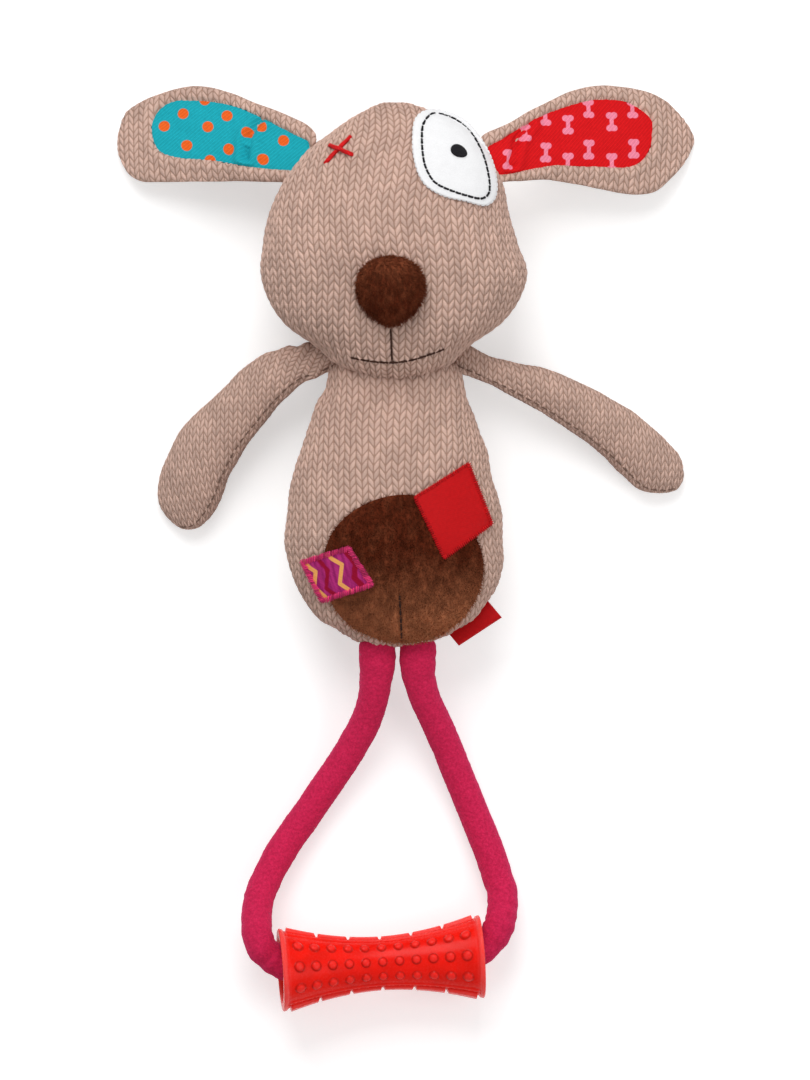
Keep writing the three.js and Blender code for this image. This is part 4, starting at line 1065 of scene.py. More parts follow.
def knit_piece(name, form, fabric, material, folds, seam_depth=0.7, to_place=None, turn=0.0,
               scale=(1.0, 1.0), seed=3, stuffing=None):
    """A closed knitted form with stitches, a side seam and soft folds in its mesh."""
    grid = form.grid()
    rows, sides, _ = grid.shape
    cloth = panel_cloth(grid)
    cloth[..., :2] = cloth[..., :2] @ plan_turn(turn)
    cloth = sway_cloth(cloth, grid, seed=seed)
    cloth[..., :2] /= scale
    normals = grid_normals(grid)
    relief = (knit_relief(cloth, fabric) - 0.5) * fabric.relief / MM * scale[0]
    around = np.arange(sides) / sides
    step = np.linalg.norm(grid[rows // 2, 1] - grid[rows // 2, 0])
    off_seam = np.minimum(np.abs(around - 0.5), np.minimum(around, 1 - around)) * sides * step
    pinch = np.exp(-(off_seam / SEAM_WIDTH) ** 2)[None, :]
    lift = relief * (1 - pinch) - seam_depth * pinch + slack(grid, seed) + folds(grid)
    if stuffing is not None:
        lift = lift + stuffing.on_grid(rows, sides)
    girth = np.linalg.norm(grid - grid.mean(axis=1, keepdims=True), axis=2).mean(axis=1)
    lift = lift * np.clip(girth / FADE_GIRTH, 0, 1)[:, None]
    points = grid + normals * lift[..., None]
    if to_place is not None:
        points = to_place(points)
    return add_mesh(name, place(keep_above_floor(points)), tube_faces(rows, sides), material, cloth)


def slack(points, seed):
    """The slow unevenness of a stuffed skin."""
    return grain(points, 30.0, seed + 5) * 0.45


def skin(form, seed, folds, stuffing):
    """The stuffed surface that patches and threads are sewn to."""
    def surface(x, y, lift):
        base = form.off(x, y, np.zeros(len(x)))
        return form.off(x, y, lift + slack(base, seed) + folds(base) + stuffing.above(x, y))
    return surface


# Patches, threads and pile

# A patch's rings, as shares of its reach: those that round its rim, and those that close it from below
PATCH_RIM = (0.985, 0.997, 1.0)
PATCH_UNDER = (0.995, 0.9, 0.75, 0.6, 0.45, 0.3, 0.15)


def patch_points(outline, surface, lift, thickness, spacing, crown=0.0, power=2.0, roll=0.12):
    """A closed layer over a surface, in rings from the top's middle out to its rim and in below it."""
    centre = outline.mean(axis=0)
    reach = np.max(np.linalg.norm(outline - centre, axis=1))
    steps = max(6, int(reach / spacing))
    shares = np.concatenate([np.linspace(0, 1, steps + 1)[1:-1], PATCH_RIM])
    top = lift + thickness + crown * np.clip(1 - shares ** power, 0, 1) ** (1 / power)
    inner = np.clip((1 - shares) * reach / max(roll, 1e-6), 0, 1)
    top = top - thickness * 0.6 * (1 - np.sqrt(np.clip(1 - (1 - inner) ** 2, 0, 1)))
    under = [(share, lift) for share in (*PATCH_UNDER, 0.0)]
    layers = [(0.0, lift + thickness + crown), *zip(shares, top), *under]
    points, flat, share_of = [], [], []
    for share, height in layers:
        ring = centre + (outline - centre) * share if share > 0 else centre[None, :]
        points.append(surface(ring[:, 0], ring[:, 1], np.full(len(ring), height)))
        flat.append(ring)
        share_of.extend([share] * len(ring))
    return np.vstack(points), np.vstack(flat), len(layers) - 2, np.array(share_of)


def patch_faces(sides, rings):
    last = 1 + (rings - 1) * sides
    top = [(0, 1 + k, 1 + (k + 1) % sides) for k in range(sides)]
    foot = [(last + sides, last + (k + 1) % sides, last + k) for k in range(sides)]
    return top + tube_faces(rings, sides, first=1, ends=False) + foot


def counterclockwise(outline):
    outline = np.asarray(outline, dtype=float)
    x, y = outline[:, 0], outline[:, 1]
    area = np.sum(x * np.roll(y, -1) - np.roll(x, -1) * y)
    return outline if area > 0 else outline[::-1]


def add_patch(name, outline, surface, lift, thickness, spacing, material, crown=0.0, power=2.0, roll=0.12,
              rough=None, marks=None, to_place=None, cloth_turn=0.0):
    """A patch on a surface, with its print's marks and a roughness that stands up off the surface."""
    outline = counterclockwise(outline)
    layout = (thickness, spacing, crown, power, roll)
    points, flat, rings, share = patch_points(outline, surface, lift, *layout)
    if rough is not None:
        below = patch_points(outline, surface, lift - 1.0, *layout)[0]
        points = points + unit(points - below) * rough(points, share)[:, None]
    cloth = np.column_stack([flat @ plan_turn(cloth_turn), np.zeros(len(flat))]) * MM
    made_marks = {key: fn(flat) for key, fn in (marks or {}).items()}
    if to_place is not None:
        points = to_place(points)
    return add_mesh(name, place(points), patch_faces(len(outline), rings), material, cloth, made_marks)


# Up for a thread's rings, a little off the upright so that a thread may stand straight
THREAD_UP = (0.0001, 0.0001, 1.0001)


def thread_points(lines, radius, sides, plies, twist):
    """Closed threads along lines in millimetres, twisted from plies, with rounded ends."""
    points, faces, cloth, tones = [], [], [], []
    start = 0
    spread = np.random.default_rng(len(lines))
    for line in lines:
        along = length_along(line)
        to_end = np.clip(1 - np.minimum(along, along[-1] - along) / radius, 0, 1)
        size = radius * np.sqrt(np.clip(1 - to_end ** 2, 0.02, 1))
        angle = all_round(sides)
        phase = angle[None, :] * max(plies, 1) - along[:, None] / radius * twist / 2
        lump = 1 + (0.16 * np.cos(phase) if plies else 0.0)
        ring = size[:, None] * lump
        grid, _ = around_line(line, ring, ring, angle, up=THREAD_UP)
        points.append(grid.reshape(-1, 3))
        faces += tube_faces(len(line), sides, start)
        lay = np.zeros((len(line), sides, 3))
        lay[..., 0] = along[:, None]
        lay[..., 1] = (angle * radius)[None, :] + along[:, None] * 0.6
        cloth.append(lay.reshape(-1, 3))
        tones.append(np.full(len(line) * sides, spread.uniform()))
        start += len(line) * sides
    return np.vstack(points), faces, np.vstack(cloth) * MM, np.concatenate(tones)


def add_thread(name, lines, radius, material, sides=8, plies=0, twist=3.0, to_place=None):
    points, faces, cloth, tones = thread_points(lines, radius, sides, plies, twist)
    if to_place is not None:
        points = to_place(points)
    return add_mesh(name, place(points), faces, material, cloth, {"stitch": tones})


# A pile fibre: its rings as shares of its length with their thickness in metres, its corners and its faces
FIBRE_RINGS = ((0.0, 0.00012), (0.55, 0.0001))
FIBRE_CORNERS = (0.0, 2.0944, 4.1888)
FIBRE_FACES = ((2, 1, 0), (0, 1, 4, 3), (1, 2, 5, 4), (2, 0, 3, 5), (3, 4, 6), (4, 5, 6), (5, 3, 6))
FIBRE_POINTS = 7
FIBRE_SINK = 0.0002


def add_pile(name, cloth_piece, count, length, lean, seed, covers=()):
    """Fine tapered fibres that stand on a piece and lie one way, none of them under its covers."""
    spread = np.random.default_rng(seed)
    mesh = cloth_piece.data
    total = len(mesh.polygons)
    centres, normals, areas = np.empty(total * 3), np.empty(total * 3), np.empty(total)
    mesh.polygons.foreach_get("center", centres)
    mesh.polygons.foreach_get("normal", normals)
    mesh.polygons.foreach_get("area", areas)
    centres, normals = centres.reshape(-1, 3), normals.reshape(-1, 3)
    weight = areas * (normals[:, 2] > 0.05)
    plan = centres[:, :2] / MM - ORIGIN[:2]
    for cover in covers:
        weight = weight * (distance_to_outline(plan, cover) > -0.3)
    chosen = spread.choice(total, count, p=weight / weight.sum())
    reach = np.sqrt(areas[chosen])[:, None] * 0.5
    flat = unit(np.cross(normals[chosen], spread.normal(size=(count, 3))))
    roots = centres[chosen] + flat * reach * spread.uniform(0, 1, (count, 1)) - normals[chosen] * FIBRE_SINK
    way = unit(normals[chosen] * 0.75 + np.array(lean) + spread.normal(size=(count, 3)) * 0.28)
    size = length * spread.uniform(0.6, 1.15, (count, 1))
    side = unit(np.cross(way, spread.normal(size=(count, 3))))
    other = np.cross(way, side)
    bend = unit(np.array(lean) + spread.normal(size=(count, 3)) * 0.5) * size * 0.3
    rings = []
    for share, thick in FIBRE_RINGS:
        spot = roots + way * size * share + bend * share ** 2
        for angle in FIBRE_CORNERS:
            rings.append(spot + (side * math.cos(angle) + other * math.sin(angle)) * thick)
    tips = roots + way * size + bend
    points = np.stack([*rings, tips], axis=1).reshape(-1, 3)
    faces = [tuple(i * FIBRE_POINTS + k for k in face) for i in range(count) for face in FIBRE_FACES]
    # each fibre takes the painted highlight of the face that it stands on, with a random change of tone
    values = np.empty(len(mesh.vertices))
    mesh.attributes["painted_highlight"].data.foreach_get("value", values)
    corner = np.array([mesh.polygons[int(i)].vertices[0] for i in chosen])
    painted_highlight = np.repeat(values[corner] + spread.uniform(-0.04, 0.07, count), FIBRE_POINTS)
    return add_mesh(name, points, faces, mesh.materials[0], marks={"painted_highlight": painted_highlight})


def dashes(line, length, gap, count=9):
    """Cuts a line in plan into stitches."""
    along = length_along(line)
    pieces = []
    start = gap / 2
    while start + length <= along[-1]:
        pieces.append(at_lengths(line, along, np.linspace(start, start + length, count)))
        start += length + gap
    return pieces


def dipped(surface, plan, lift, dip):
    """A stitch on a surface that dives into the cloth at both ends."""
    return surface(plan[:, 0], plan[:, 1], lift - dip * (1 - arch(len(plan))))


def arch(count, power=0.5):
    """A rise from 0 to 1 and back over a number of points."""
    return np.sin(np.linspace(0, math.pi, count)) ** power


# Velour sleeve: its mesh, its reach into the hem, its round ends, how the hem flattens it, and its seam
SLEEVE_ROWS = 620
SLEEVE_SIDES = 44
HEM_REACH = 8.0
END_ROUNDING = 4.0
HEM_FADE = 9.0
HEM_WIDENING = 0.21
HEM_THINNING = 0.08
VELOUR_SEAM = 0.35

# Rows on the handle, in degrees round it from its top
NUB_ROWS = (-36, 0, 36, 144, 180, 216)
PLANK_ROWS = (-90, 90)
RIB_ROWS = (-64, 64, 116, 244)
NUB_RADIUS = 2.05
NUB_MARGIN = 6.5
RIM_WIDTH = 2.4
RIM_ROUNDING = 0.6
WALL_ROWS = 240
BORE_ROWS = 60
HANDLE_SIDES = 264


def handle_frame():
    """The handle's own directions: sideways, along and upwards."""
    along = unit(HANDLE_AXIS)
    start = np.array([0.0, 1.0, 0.0])
    axis = np.cross(start, along)
    spin = turned(axis, math.acos(float(start @ along)))
    return spin @ np.array([1.0, 0, 0]), along, spin @ np.array([0, 0, 1.0])


def cord_route():
    """The leg loop's centreline: hem, left leg, bend, handle, bend, right leg, hem."""
    _, along, _ = handle_frame()
    across = unit(np.cross(np.array([0, 0, 1.0]), along))

    def handle_exit(side):
        points = [HANDLE_CENTRE + side * along * STRAIGHT * share for share in STRAIGHT_SHARES]
        for angle in BEND_ANGLES:
            bend = math.radians(angle)
            reach = STRAIGHT + BEND_RADIUS * math.sin(bend)
            points.append(HANDLE_CENTRE + side * along * reach + across * BEND_RADIUS * (1 - math.cos(bend)))
        return points[::-1] if side < 0 else points

    def hem(x):
        return [(x, HEM_AXIS_Y, BODY_MIDDLE), (x, HEM_AXIS_Y - CORD_DIAMETER / 4, BODY_MIDDLE - 0.3)]

    route = [*hem(LEG_XS[0]), *LEFT_LEG, *handle_exit(-1), *handle_exit(1), *RIGHT_LEG, *hem(LEG_XS[1])[::-1]]
    return smooth(np.array(route, dtype=float), 560)


class TUGTOY_OT_leg_loop(Operator):
    """Velour leg loop with its rope core"""
    bl_idname = "tugtoy.leg_loop"
    bl_label = "Leg loop"

    def execute(self, context):
        colours, fabric = settings_of(context)
        line = cord_route()
        points, faces, cloth = self.sleeve(line, fabric.velour / MM)
        velour = pile_finish(
            "Crimson velour", tuple(colours.velour), (0.80, 0.09, 0.24), fineness=2400.0, clump=800.0,
            variation=0.13, sheen=0.7, distance=0.0004, stretch=(1.0, 1.0, 1.0),
        )
        piece = add_mesh("leg_loop_velour", place(points), faces, velour, cloth * MM)
        sew(piece, "leg_loop", "crimson_velour", "leg_cord_sleeve")
        tuple(place(line[0]))
        [tuple(p) for p in place(line)]
        finish_node("leg_cord_core", rope_finish())
        return {"FINISHED"}

    def sleeve(self, line, pile):
        """The velour tube: its ends rounded inside the hem, its folds in the bends, and its sunken seam."""
        into_hem = (0.0, HEM_REACH, 0.0)
        whole = evenly(np.array([line[0] + into_hem, *line, line[-1] + into_hem]), SLEEVE_ROWS)
        along = length_along(whole)
        from_end = np.minimum(along, along[-1] - along)
        share = from_end / END_ROUNDING
        radius = CORD_DIAMETER / 2 * np.sqrt(np.clip(share, 0.02, 1) * np.clip(2 - share, 1, 2))
        flat = np.exp(-((from_end - HEM_REACH) / HEM_FADE) ** 2)
        wide = radius * (1 + HEM_WIDENING * flat)
        deep = radius * (1 - HEM_THINNING * flat)
        angle = all_round(SLEEVE_SIDES)
        grid, tangent = around_line(whole, wide[:, None], deep[:, None], angle)
        normals = grid_normals(grid)
        facing = np.sign(np.sum(normals * (grid - whole[:, None, :]), axis=-1, keepdims=True))
        bend = np.linalg.norm(np.gradient(tangent, axis=0), axis=1)
        bend = np.convolve(bend, np.ones(21) / 21, mode="same")
        folds = np.sin(along * 1.15 + 2 * np.sin(along * 0.21))[:, None] * np.cos(angle - 0.8)[None, :]
        lift = grain(grid, 14.0, 11) * 0.16 + grain(grid, 1.5, 12) * pile * 0.4
        lift = lift + folds * np.clip(bend * 6, 0, 0.4)[:, None]
        from_seam = np.arange(SLEEVE_SIDES) - SLEEVE_SIDES * 0.75
        seam = np.exp(-((from_seam / 1.2) ** 2))[None, :] * VELOUR_SEAM
        points = keep_above_floor(grid + normals * facing * (lift - seam)[..., None])
        cloth = np.zeros(grid.shape)
        cloth[..., 0] = angle * CORD_DIAMETER / 2
        cloth[..., 1] = along[:, None]
        faces = tube_faces(SLEEVE_ROWS, SLEEVE_SIDES)
        if float(np.mean(facing)) < 0:
            faces = [face[::-1] for face in faces]
        return points, faces, cloth


def hourglass(x, waist, end):
    """A radius along the handle, which flares from its waist to its ends."""
    return waist + (end - waist) * np.abs(x / (HANDLE_LENGTH / 2)) ** HANDLE_FLARE


def turn_from(angle, row):
    """How far angles lie from a row given in degrees, between minus and plus half a turn."""
    return (angle - math.radians(row) + math.pi) % (2 * math.pi) - math.pi


class TUGTOY_OT_chew_handle(Operator):
    """Hourglass rubber handle with rims, nubs and notched planks"""
    bl_idname = "tugtoy.chew_handle"
    bl_label = "Chew handle"

    nub_height: number("Nub height", 1.1 * MM, "How far a nub stands up", 0.0, 0.005, "LENGTH")
    plank_height: number("Plank height", 1.3 * MM, "How far a plank stands up", 0.0, 0.005, "LENGTH")
    nubs: IntProperty(name="Nubs", default=11, min=3, max=30, description="Nubs in each row")
    planks: IntProperty(name="Planks", default=6, min=2, max=12, description="Planks in each row")

    def relief(self, x, angle, radius):
        """How far the wall stands up, how much of that is nubs, and the rings round the nubs, where shade is
        painted.
        """
        half = HANDLE_LENGTH / 2
        nubs = np.zeros((len(x), angle.size))
        rings = nubs.copy()
        for row in NUB_ROWS:
            off = turn_from(angle, row)
            for at in np.linspace(NUB_MARGIN - half, half - NUB_MARGIN, self.nubs):
                girth = hourglass(at, HANDLE_WAIST, HANDLE_END) / HANDLE_END
                away = np.sqrt((x - at) ** 2 + (off * radius) ** 2) / (NUB_RADIUS * (0.45 + 0.55 * girth))
                bump = np.sqrt(np.clip(1 - away ** 2.6, 0, 1)) * self.nub_height / MM
                nubs = np.maximum(nubs, bump * (0.75 + 0.25 * girth))
                rings = np.maximum(rings, np.exp(-((away - 1.0) / 0.24) ** 2))
        lift = np.maximum(nubs, 0.6 * soft_step(np.abs(x), half - 2.1, half - 1.5))
        reach = half - RIM_WIDTH
        pitch = 2 * reach / self.planks
        share = (x + reach) % pitch
        along = soft_step(share, 0.35, 0.8) * soft_step(pitch - share, 0.35, 0.8)
        inside = soft_step(reach + 0.2 - np.abs(x), 0.0, 0.5)
        for row in PLANK_ROWS:
            plank = soft_step(math.radians(18) - np.abs(turn_from(angle, row)), 0.0, 0.055) * along * inside
            lift = np.maximum(lift, plank * self.plank_height / MM * (0.85 + 0.5 * (x / half) ** 2))
        for row in RIB_ROWS:
            rib = soft_step(math.radians(3.2) - np.abs(turn_from(angle, row)), 0.0, 0.035) * inside
            lift = np.maximum(lift, rib * 0.6)
        return lift, nubs, rings

    def execute(self, context):
        colours = context.scene.tug_toy_colours
        sideways, along, up = handle_frame()
        half = HANDLE_LENGTH / 2
        x = np.linspace(-half, half, WALL_ROWS)
        inner_x = np.linspace(half, -half, BORE_ROWS)
        angle = all_round(HANDLE_SIDES)
        wall = hourglass(x, HANDLE_WAIST, HANDLE_END)[:, None]
        lift, nubs, rings = self.relief(x[:, None], angle[None, :], wall)
        from_rim = np.clip(1 - (half - np.abs(x)) / RIM_ROUNDING, 0, 1)
        trim = RIM_ROUNDING * (1 - np.sqrt(np.clip(1 - from_rim ** 2, 0, 1)))
        inside = np.zeros((BORE_ROWS, HANDLE_SIDES))
        bore = hourglass(inner_x, BORE_WAIST, BORE_MOUTH)[:, None] + inside
        radius = np.vstack([wall + lift - trim[:, None], bore])
        station = np.concatenate([x, inner_x])
        ring = sideways[None, :] * np.sin(angle)[:, None] + up[None, :] * np.cos(angle)[:, None]
        points = HANDLE_CENTRE + station[:, None, None] * along + radius[:, :, None] * ring[None, :, :]
        corner = np.arange(radius.size).reshape(radius.shape)
        beside = np.roll(corner, -1, axis=1)
        corners = [corner, beside, np.roll(beside, -1, axis=0), np.roll(corner, -1, axis=0)]
        faces = np.stack(corners, axis=-1).reshape(-1, 4).tolist()
        # painted light in the rubber's colour: a glow on the raised planks, ribs and rims, less on the nubs,
        # and near the ends; painted shade in rings round the nubs
        painted_glow = np.clip(lift / 1.2, 0, 1) - 0.6 * np.clip(nubs / 1.2, 0, 1)
        painted_glow = np.concatenate([painted_glow, inside]) + (np.abs(station) > half - 3.2)[:, None] * 0.3
        marks = {"painted_glow": painted_glow, "ring": np.concatenate([rings, inside])}
        points = place(keep_above_floor(points, 0.02))
        piece = add_mesh("chew_handle_rubber", points, faces, rubber_finish(colours), marks=marks)
        sew(piece, "handle", "red_rubber", "chew_handle")
        return {"FINISHED"}


# Distances that the prints are drawn from, in metres, negative inside

def distance_to_dots(flat, centres, radius):
    away = np.linalg.norm(flat[:, None, :] - np.asarray(centres)[None, :, :], axis=2).min(axis=1)
    return (away - radius) * MM


def distance_to_bones(flat, centres, turn, half_length=2.5, knob=1.25, shaft=0.75):
    """Small bones: a shaft with two knobs at each end."""
    best = np.full(len(flat), 1e3)
    for centre in np.asarray(centres):
        local = (flat - centre) @ plan_turn(-turn)
        x = np.abs(local[:, 0])
        y = np.abs(local[:, 1])
        ends = np.hypot(x - knob * 0.72, y - half_length) - knob
        side = np.maximum(x - shaft, y - half_length)
        best = np.minimum(best, np.minimum(ends, side))
    return best * MM


def distance_to_line(flat, line, half_width):
    best = np.full(len(flat), 1e3)
    for start, end in zip(line[:-1], line[1:]):
        start = np.asarray(start, dtype=float)
        run = np.asarray(end, dtype=float) - start
        t = np.clip(((flat - start) @ run) / max(run @ run, 1e-9), 0, 1)
        best = np.minimum(best, np.linalg.norm(flat - start - t[:, None] * run, axis=1))
    return (best - half_width) * MM


def distance_to_outline(flat, outline):
    """Signed distance in millimetres to a closed outline, negative inside."""
    rim = looped(np.asarray(outline, dtype=float))
    away = distance_to_line(flat, rim, 0.0) / MM
    x, y = flat[:, 0], flat[:, 1]
    inside = np.zeros(len(flat), dtype=bool)
    for a, b in zip(rim[:-1], rim[1:]):
        crosses = (a[1] > y) != (b[1] > y)
        at = a[0] + (y - a[1]) * (b[0] - a[0]) / np.where(b[1] == a[1], 1e-9, b[1] - a[1])
        inside ^= crosses & (x < at)
    return np.where(inside, -away, away)


# Places on the photographed front, in millimetres from the hem
EAR_LEFT_DOTS = [
    (-79.4, 203.3), (-86.6, 198.6), (-69.9, 198.2), (-62.7, 202.4), (-54.7, 195.7), (-49.4, 198.0),
    (-77.9, 191.1), (-61.9, 189.6), (-41.4, 193.0), (-49.0, 185.8), (-71.4, 208.8), (-69.2, 185.4),
]
EAR_RIGHT_BONES = [
    (49.2, 196.1), (65.4, 199.1), (82.1, 200.3), (57.0, 188.5), (73.3, 189.6), (90.4, 190.0),
    (73.3, 205.4), (90.1, 205.4), (57.0, 202.4), (65.4, 184.6), (82.1, 184.6), (42.6, 185.6),
]
EAR_LEFT_CREASE = [(-48.6, 202.6), (-51.5, 199.0), (-54.7, 193.7), (-55.6, 186.5)]
EAR_RIGHT_CREASE = [(50.5, 199.5), (46.0, 193.0), (44.5, 184.0)]

# Linings, as shares of the ear's length and of its width to one side
LINING_LEFT = [
    (-0.03, 0.14), (0.05, 0.215), (0.177, 0.315), (0.371, 0.437), (0.61, 0.487), (0.747, 0.43),
    (0.811, 0.311), (0.824, 0.139), (0.77, -0.094), (0.45, -0.14), (0.223, -0.17), (0.09, -0.165),
    (-0.03, -0.15),
]
LINING_RIGHT = [
    (-0.03, -0.08), (0.06, -0.18), (0.21, -0.341), (0.386, -0.456), (0.535, -0.502), (0.713, -0.415),
    (0.794, -0.251), (0.791, -0.04), (0.755, 0.123), (0.692, 0.227), (0.482, 0.198), (0.298, 0.155),
    (0.055, 0.2), (-0.03, 0.17),
]

# The eye's, cross's and nose's points are measured from EYE, CROSS and NOSE, the mouth's from the chin
EYE = (23.2, 178.0)
EYE_OUTLINE = [
    (-7.9, 27.4), (-12.4, 26.2), (-15.1, 23.3), (-16.1, 15.5), (-15.5, 8.2), (-13.7, 2.1), (-11.0, -2.0),
    (-4.7, -5.8), (3.8, -7.8), (11.6, -9.4), (14.8, -7.2), (15.9, -2.0), (14.0, 8.2), (9.6, 16.6),
    (4.1, 23.0), (-0.6, 25.6), (-4.7, 26.9),
]
EYE_STITCHES = [
    (-7.5, 25.8), (-9.6, 25.0), (-12.1, 21.3), (-12.6, 15.5), (-12.2, 9.6), (-11.3, 5.3), (-8.7, 0.3),
    (-6.4, -1.7), (-2.0, -3.7), (3.8, -5.6), (10.2, -6.8), (12.5, -5.2), (13.1, -2.0), (12.0, 5.3),
    (9.9, 11.7), (6.7, 17.5), (3.2, 21.3), (-0.6, 23.9), (-4.7, 25.3),
]
PUPIL = (24.7, 189.2)
PUPIL_RADII = (3.35, 2.3)
PUPIL_LEAN = -27
CROSS = (-20.6, 189.7)
CROSS_LONG = [(4.3, 5.2), (-0.6, 0.2), (-5.6, -5.2)]
CROSS_SHORT = [(-3.9, 1.8), (0.4, 0.1), (4.9, -2.0)]
MOUTH = [(-16.4, 7.4), (-8.5, 6.0), (-0.8, 5.5), (6.8, 6.5), (14.8, 9.0), (22.2, 11.9)]
MUZZLE = [(-1.3, 18.5), (-1.0, 12.4), (-0.8, 6.3)]
NOSE = (-1.3, 136.0)
NOSE_OUTLINE = [
    (0.0, 13.2), (6.6, 11.8), (11.2, 8.0), (12.9, 2.4), (11.8, -3.8), (7.4, -9.6),
    (0.0, -13.2), (-7.4, -9.6), (-11.8, -3.8), (-12.9, 2.4), (-11.2, 8.0), (-6.6, 11.8),
]
BELLY = (3.4, 30.8)
BELLY_RADII = (30.4, 28.1)
BELLY_STITCH = [(2.1, 21.7), (2.6, 12.4), (3.0, 3.4)]
ZIGZAG_CORNERS = [(-35.7, 33.6), (-16.9, 39.4), (-7.5, 24.5), (-27.6, 17.9)]
ZIGZAGS = [
    [(-34.6, 34.2), (-32.0, 31.3), (-29.7, 29.8), (-30.2, 23.9), (-26.6, 20.7), (-24.0, 18.0)],
    [(-25.8, 36.8), (-23.4, 34.6), (-19.7, 32.5), (-20.5, 25.3), (-16.9, 22.8), (-13.0, 20.4)],
]
ZIGZAG_SHADOWS = [
    ([(-29.8, 35.2), (-27.2, 32.9), (-25.2, 30.2), (-25.6, 23.6), (-23.4, 21.8), (-20.0, 19.0)], 0.75),
    ([(-19.0, 38.0), (-16.4, 35.1), (-14.6, 32.4), (-15.0, 27.6), (-12.6, 24.9), (-9.5, 22.6)], 1.1),
    ([(-36.0, 32.0), (-32.8, 26.0), (-29.0, 18.6)], 0.8),
]
LABEL_CORNERS = [(28.5, 71.4), (7.4, 58.1), (19.0, 34.2), (37.8, 47.9)]
TAG_START = (36.8, 17.4)
TAG_END = (21.9, 4.9)
TAG_REACHES = (6.4, 4.2)


def neck_folds(grid):
    """Gathers where the neck is drawn in, and where the legs are sewn into the hem."""
    y = grid[..., 1]
    x = grid[..., 0]
    neck = np.exp(-((y - 97) / 9.0) ** 2) * np.sin(x * 0.62 + 1.4 * np.sin(x * 0.19)) * 0.55
    hem = np.exp(-((y + 1.0) / 7.0) ** 2) * np.cos(x * 0.9) * 0.35
    return neck + hem


def chin_folds(grid):
    y = grid[..., 1] - CHIN_Y
    x = grid[..., 0]
    return np.exp(-(y / 6.0) ** 2) * np.sin(x * 0.7 + np.sin(x * 0.23)) * 0.4


class TUGTOY_OT_body(Operator):
    """Knitted body with its stuffing and squeaker"""
    bl_idname = "tugtoy.body"
    bl_label = "Body"

    def execute(self, context):
        colours, fabric = settings_of(context)
        form = body_form(fabric.spacing / MM)
        knit = knit_finish(colours, fabric)
        STUFFED["body"] = Stuffing("body", body_form(STUFFING_SPACING), pinned_end=7)
        piece = knit_piece("body_knit", form, fabric, knit, folds=neck_folds, stuffing=STUFFED["body"])
        sew(piece, "torso", "knit", "body_front_panel", "body_back_panel")
        filling = fibre_finish()
        for name in ("body_filling", "head_filling", "nose_filling"):
            finish_node(name, filling)
        finish_node("squeaker_bulb", moulded_finish("Squeaker vinyl", (0.86, 0.84, 0.78), 0.45))
        finish_node("squeaker_reed", moulded_finish("Squeaker reed", (0.7, 0.7, 0.7), 0.35))
        return {"FINISHED"}


class TUGTOY_OT_head(Operator):
    """Knitted head"""
    bl_idname = "tugtoy.head"
    bl_label = "Head"

    def execute(self, context):
        fabric = context.scene.tug_toy_fabric
        form = head_form(fabric.spacing / MM)
        knit = bpy.data.materials["Taupe knit"]
        STUFFED["head"] = Stuffing("head", head_form(STUFFING_SPACING))
        piece = knit_piece(
            "head_knit", form, fabric, knit, folds=chin_folds, seed=7, stuffing=STUFFED["head"],
        )
        sew(piece, "head", "knit", "head_front_panel", "head_back_panel")
        return {"FINISHED"}


def root_folds(limb):
    """Gathers that run out from a limb's sewn root."""
    def folds(grid):
        reach = np.clip(grid[..., 1] / limb["length"], 0, 1)
        return np.exp(-(reach / 0.16) ** 2) * np.sin(grid[..., 0] * 1.25 + 0.6) * 0.7
    return folds


class TUGTOY_OT_arms(Operator):
    """Knitted arms, sewn into the neck seam"""
    bl_idname = "tugtoy.arms"
    bl_label = "Arms"

    def execute(self, context):
        colours, fabric = settings_of(context)
        knit = bpy.data.materials["Taupe knit"]
        dark = thread_finish("Seam thread", tuple(c * 0.55 for c in colours.gap))
        for name, limb in (("arm_left", ARM_LEFT), ("arm_right", ARM_RIGHT)):
            form = limb_form(limb, fabric.spacing / MM)
            to_place = LimbPlace(limb)
            piece = knit_piece(
                f"{name}_knit", form, fabric, knit, folds=root_folds(limb), to_place=to_place,
                turn=to_place.turn, scale=(0.67, 0.89), seed=11,
                stuffing=Stuffing(name, limb_form(limb, LIMB_STUFFING_SPACING), strength=0.35),
            )
            sew_limb(piece, "torso", name, to_place, "knit", f"{name}_front_panel", f"{name}_back_panel")
            self.filling(name, limb, to_place)
            edge = limb_edge(form, limb["side"], 2.1)
            lines = [dipped(form.off, part, 0.18, 0.5) for part in dashes(edge, 2.6, 0.9)]
            seam = add_thread(f"{name}_seam", lines, 0.26, dark, sides=6, to_place=to_place)
            sew_limb(seam, "torso", name, to_place, "brown_thread")
        return {"FINISHED"}

    def filling(self, name, limb, to_place):
        """The arm's stuffing, which bends with its skin."""
        form = limb_form(limb, LIMB_STUFFING_SPACING)
        grid = form.grid()
        inside = to_place(grid - grid_normals(grid) * FILLING_DEPTH)[form.rows // 12:-2]
        faces = tube_faces(len(inside), form.sides)
        piece = add_mesh(f"{name}_stuffing", place(inside), faces, bpy.data.materials["Fibre filling"])
        sew_limb(piece, "torso", name, to_place, "fibre_filling", f"{name}_filling")


def limb_edge(form, side, inset):
    """The line that runs an inset inside one edge of a limb's front, in its own plan."""
    rings = form.rings[form.rows // 14: -form.rows // 20]
    x = np.where(side > 0, rings[:, 2] - inset, rings[:, 1] + inset)
    return np.column_stack([x, rings[:, 0]])


def lining_well(outline):
    """A shallow well that a lining lies in, with a rolled rim round it."""
    def folds(grid):
        away = distance_to_outline(grid[..., :2].reshape(-1, 2), outline).reshape(grid.shape[:2])
        well = (1 - soft_step(away, -0.9, 0.3)) * -1.9
        rolled = np.exp(-((away - 2.2) / 2.0) ** 2)
        return np.where(grid[..., 2] > 0, well + rolled, 0.0)
    return folds


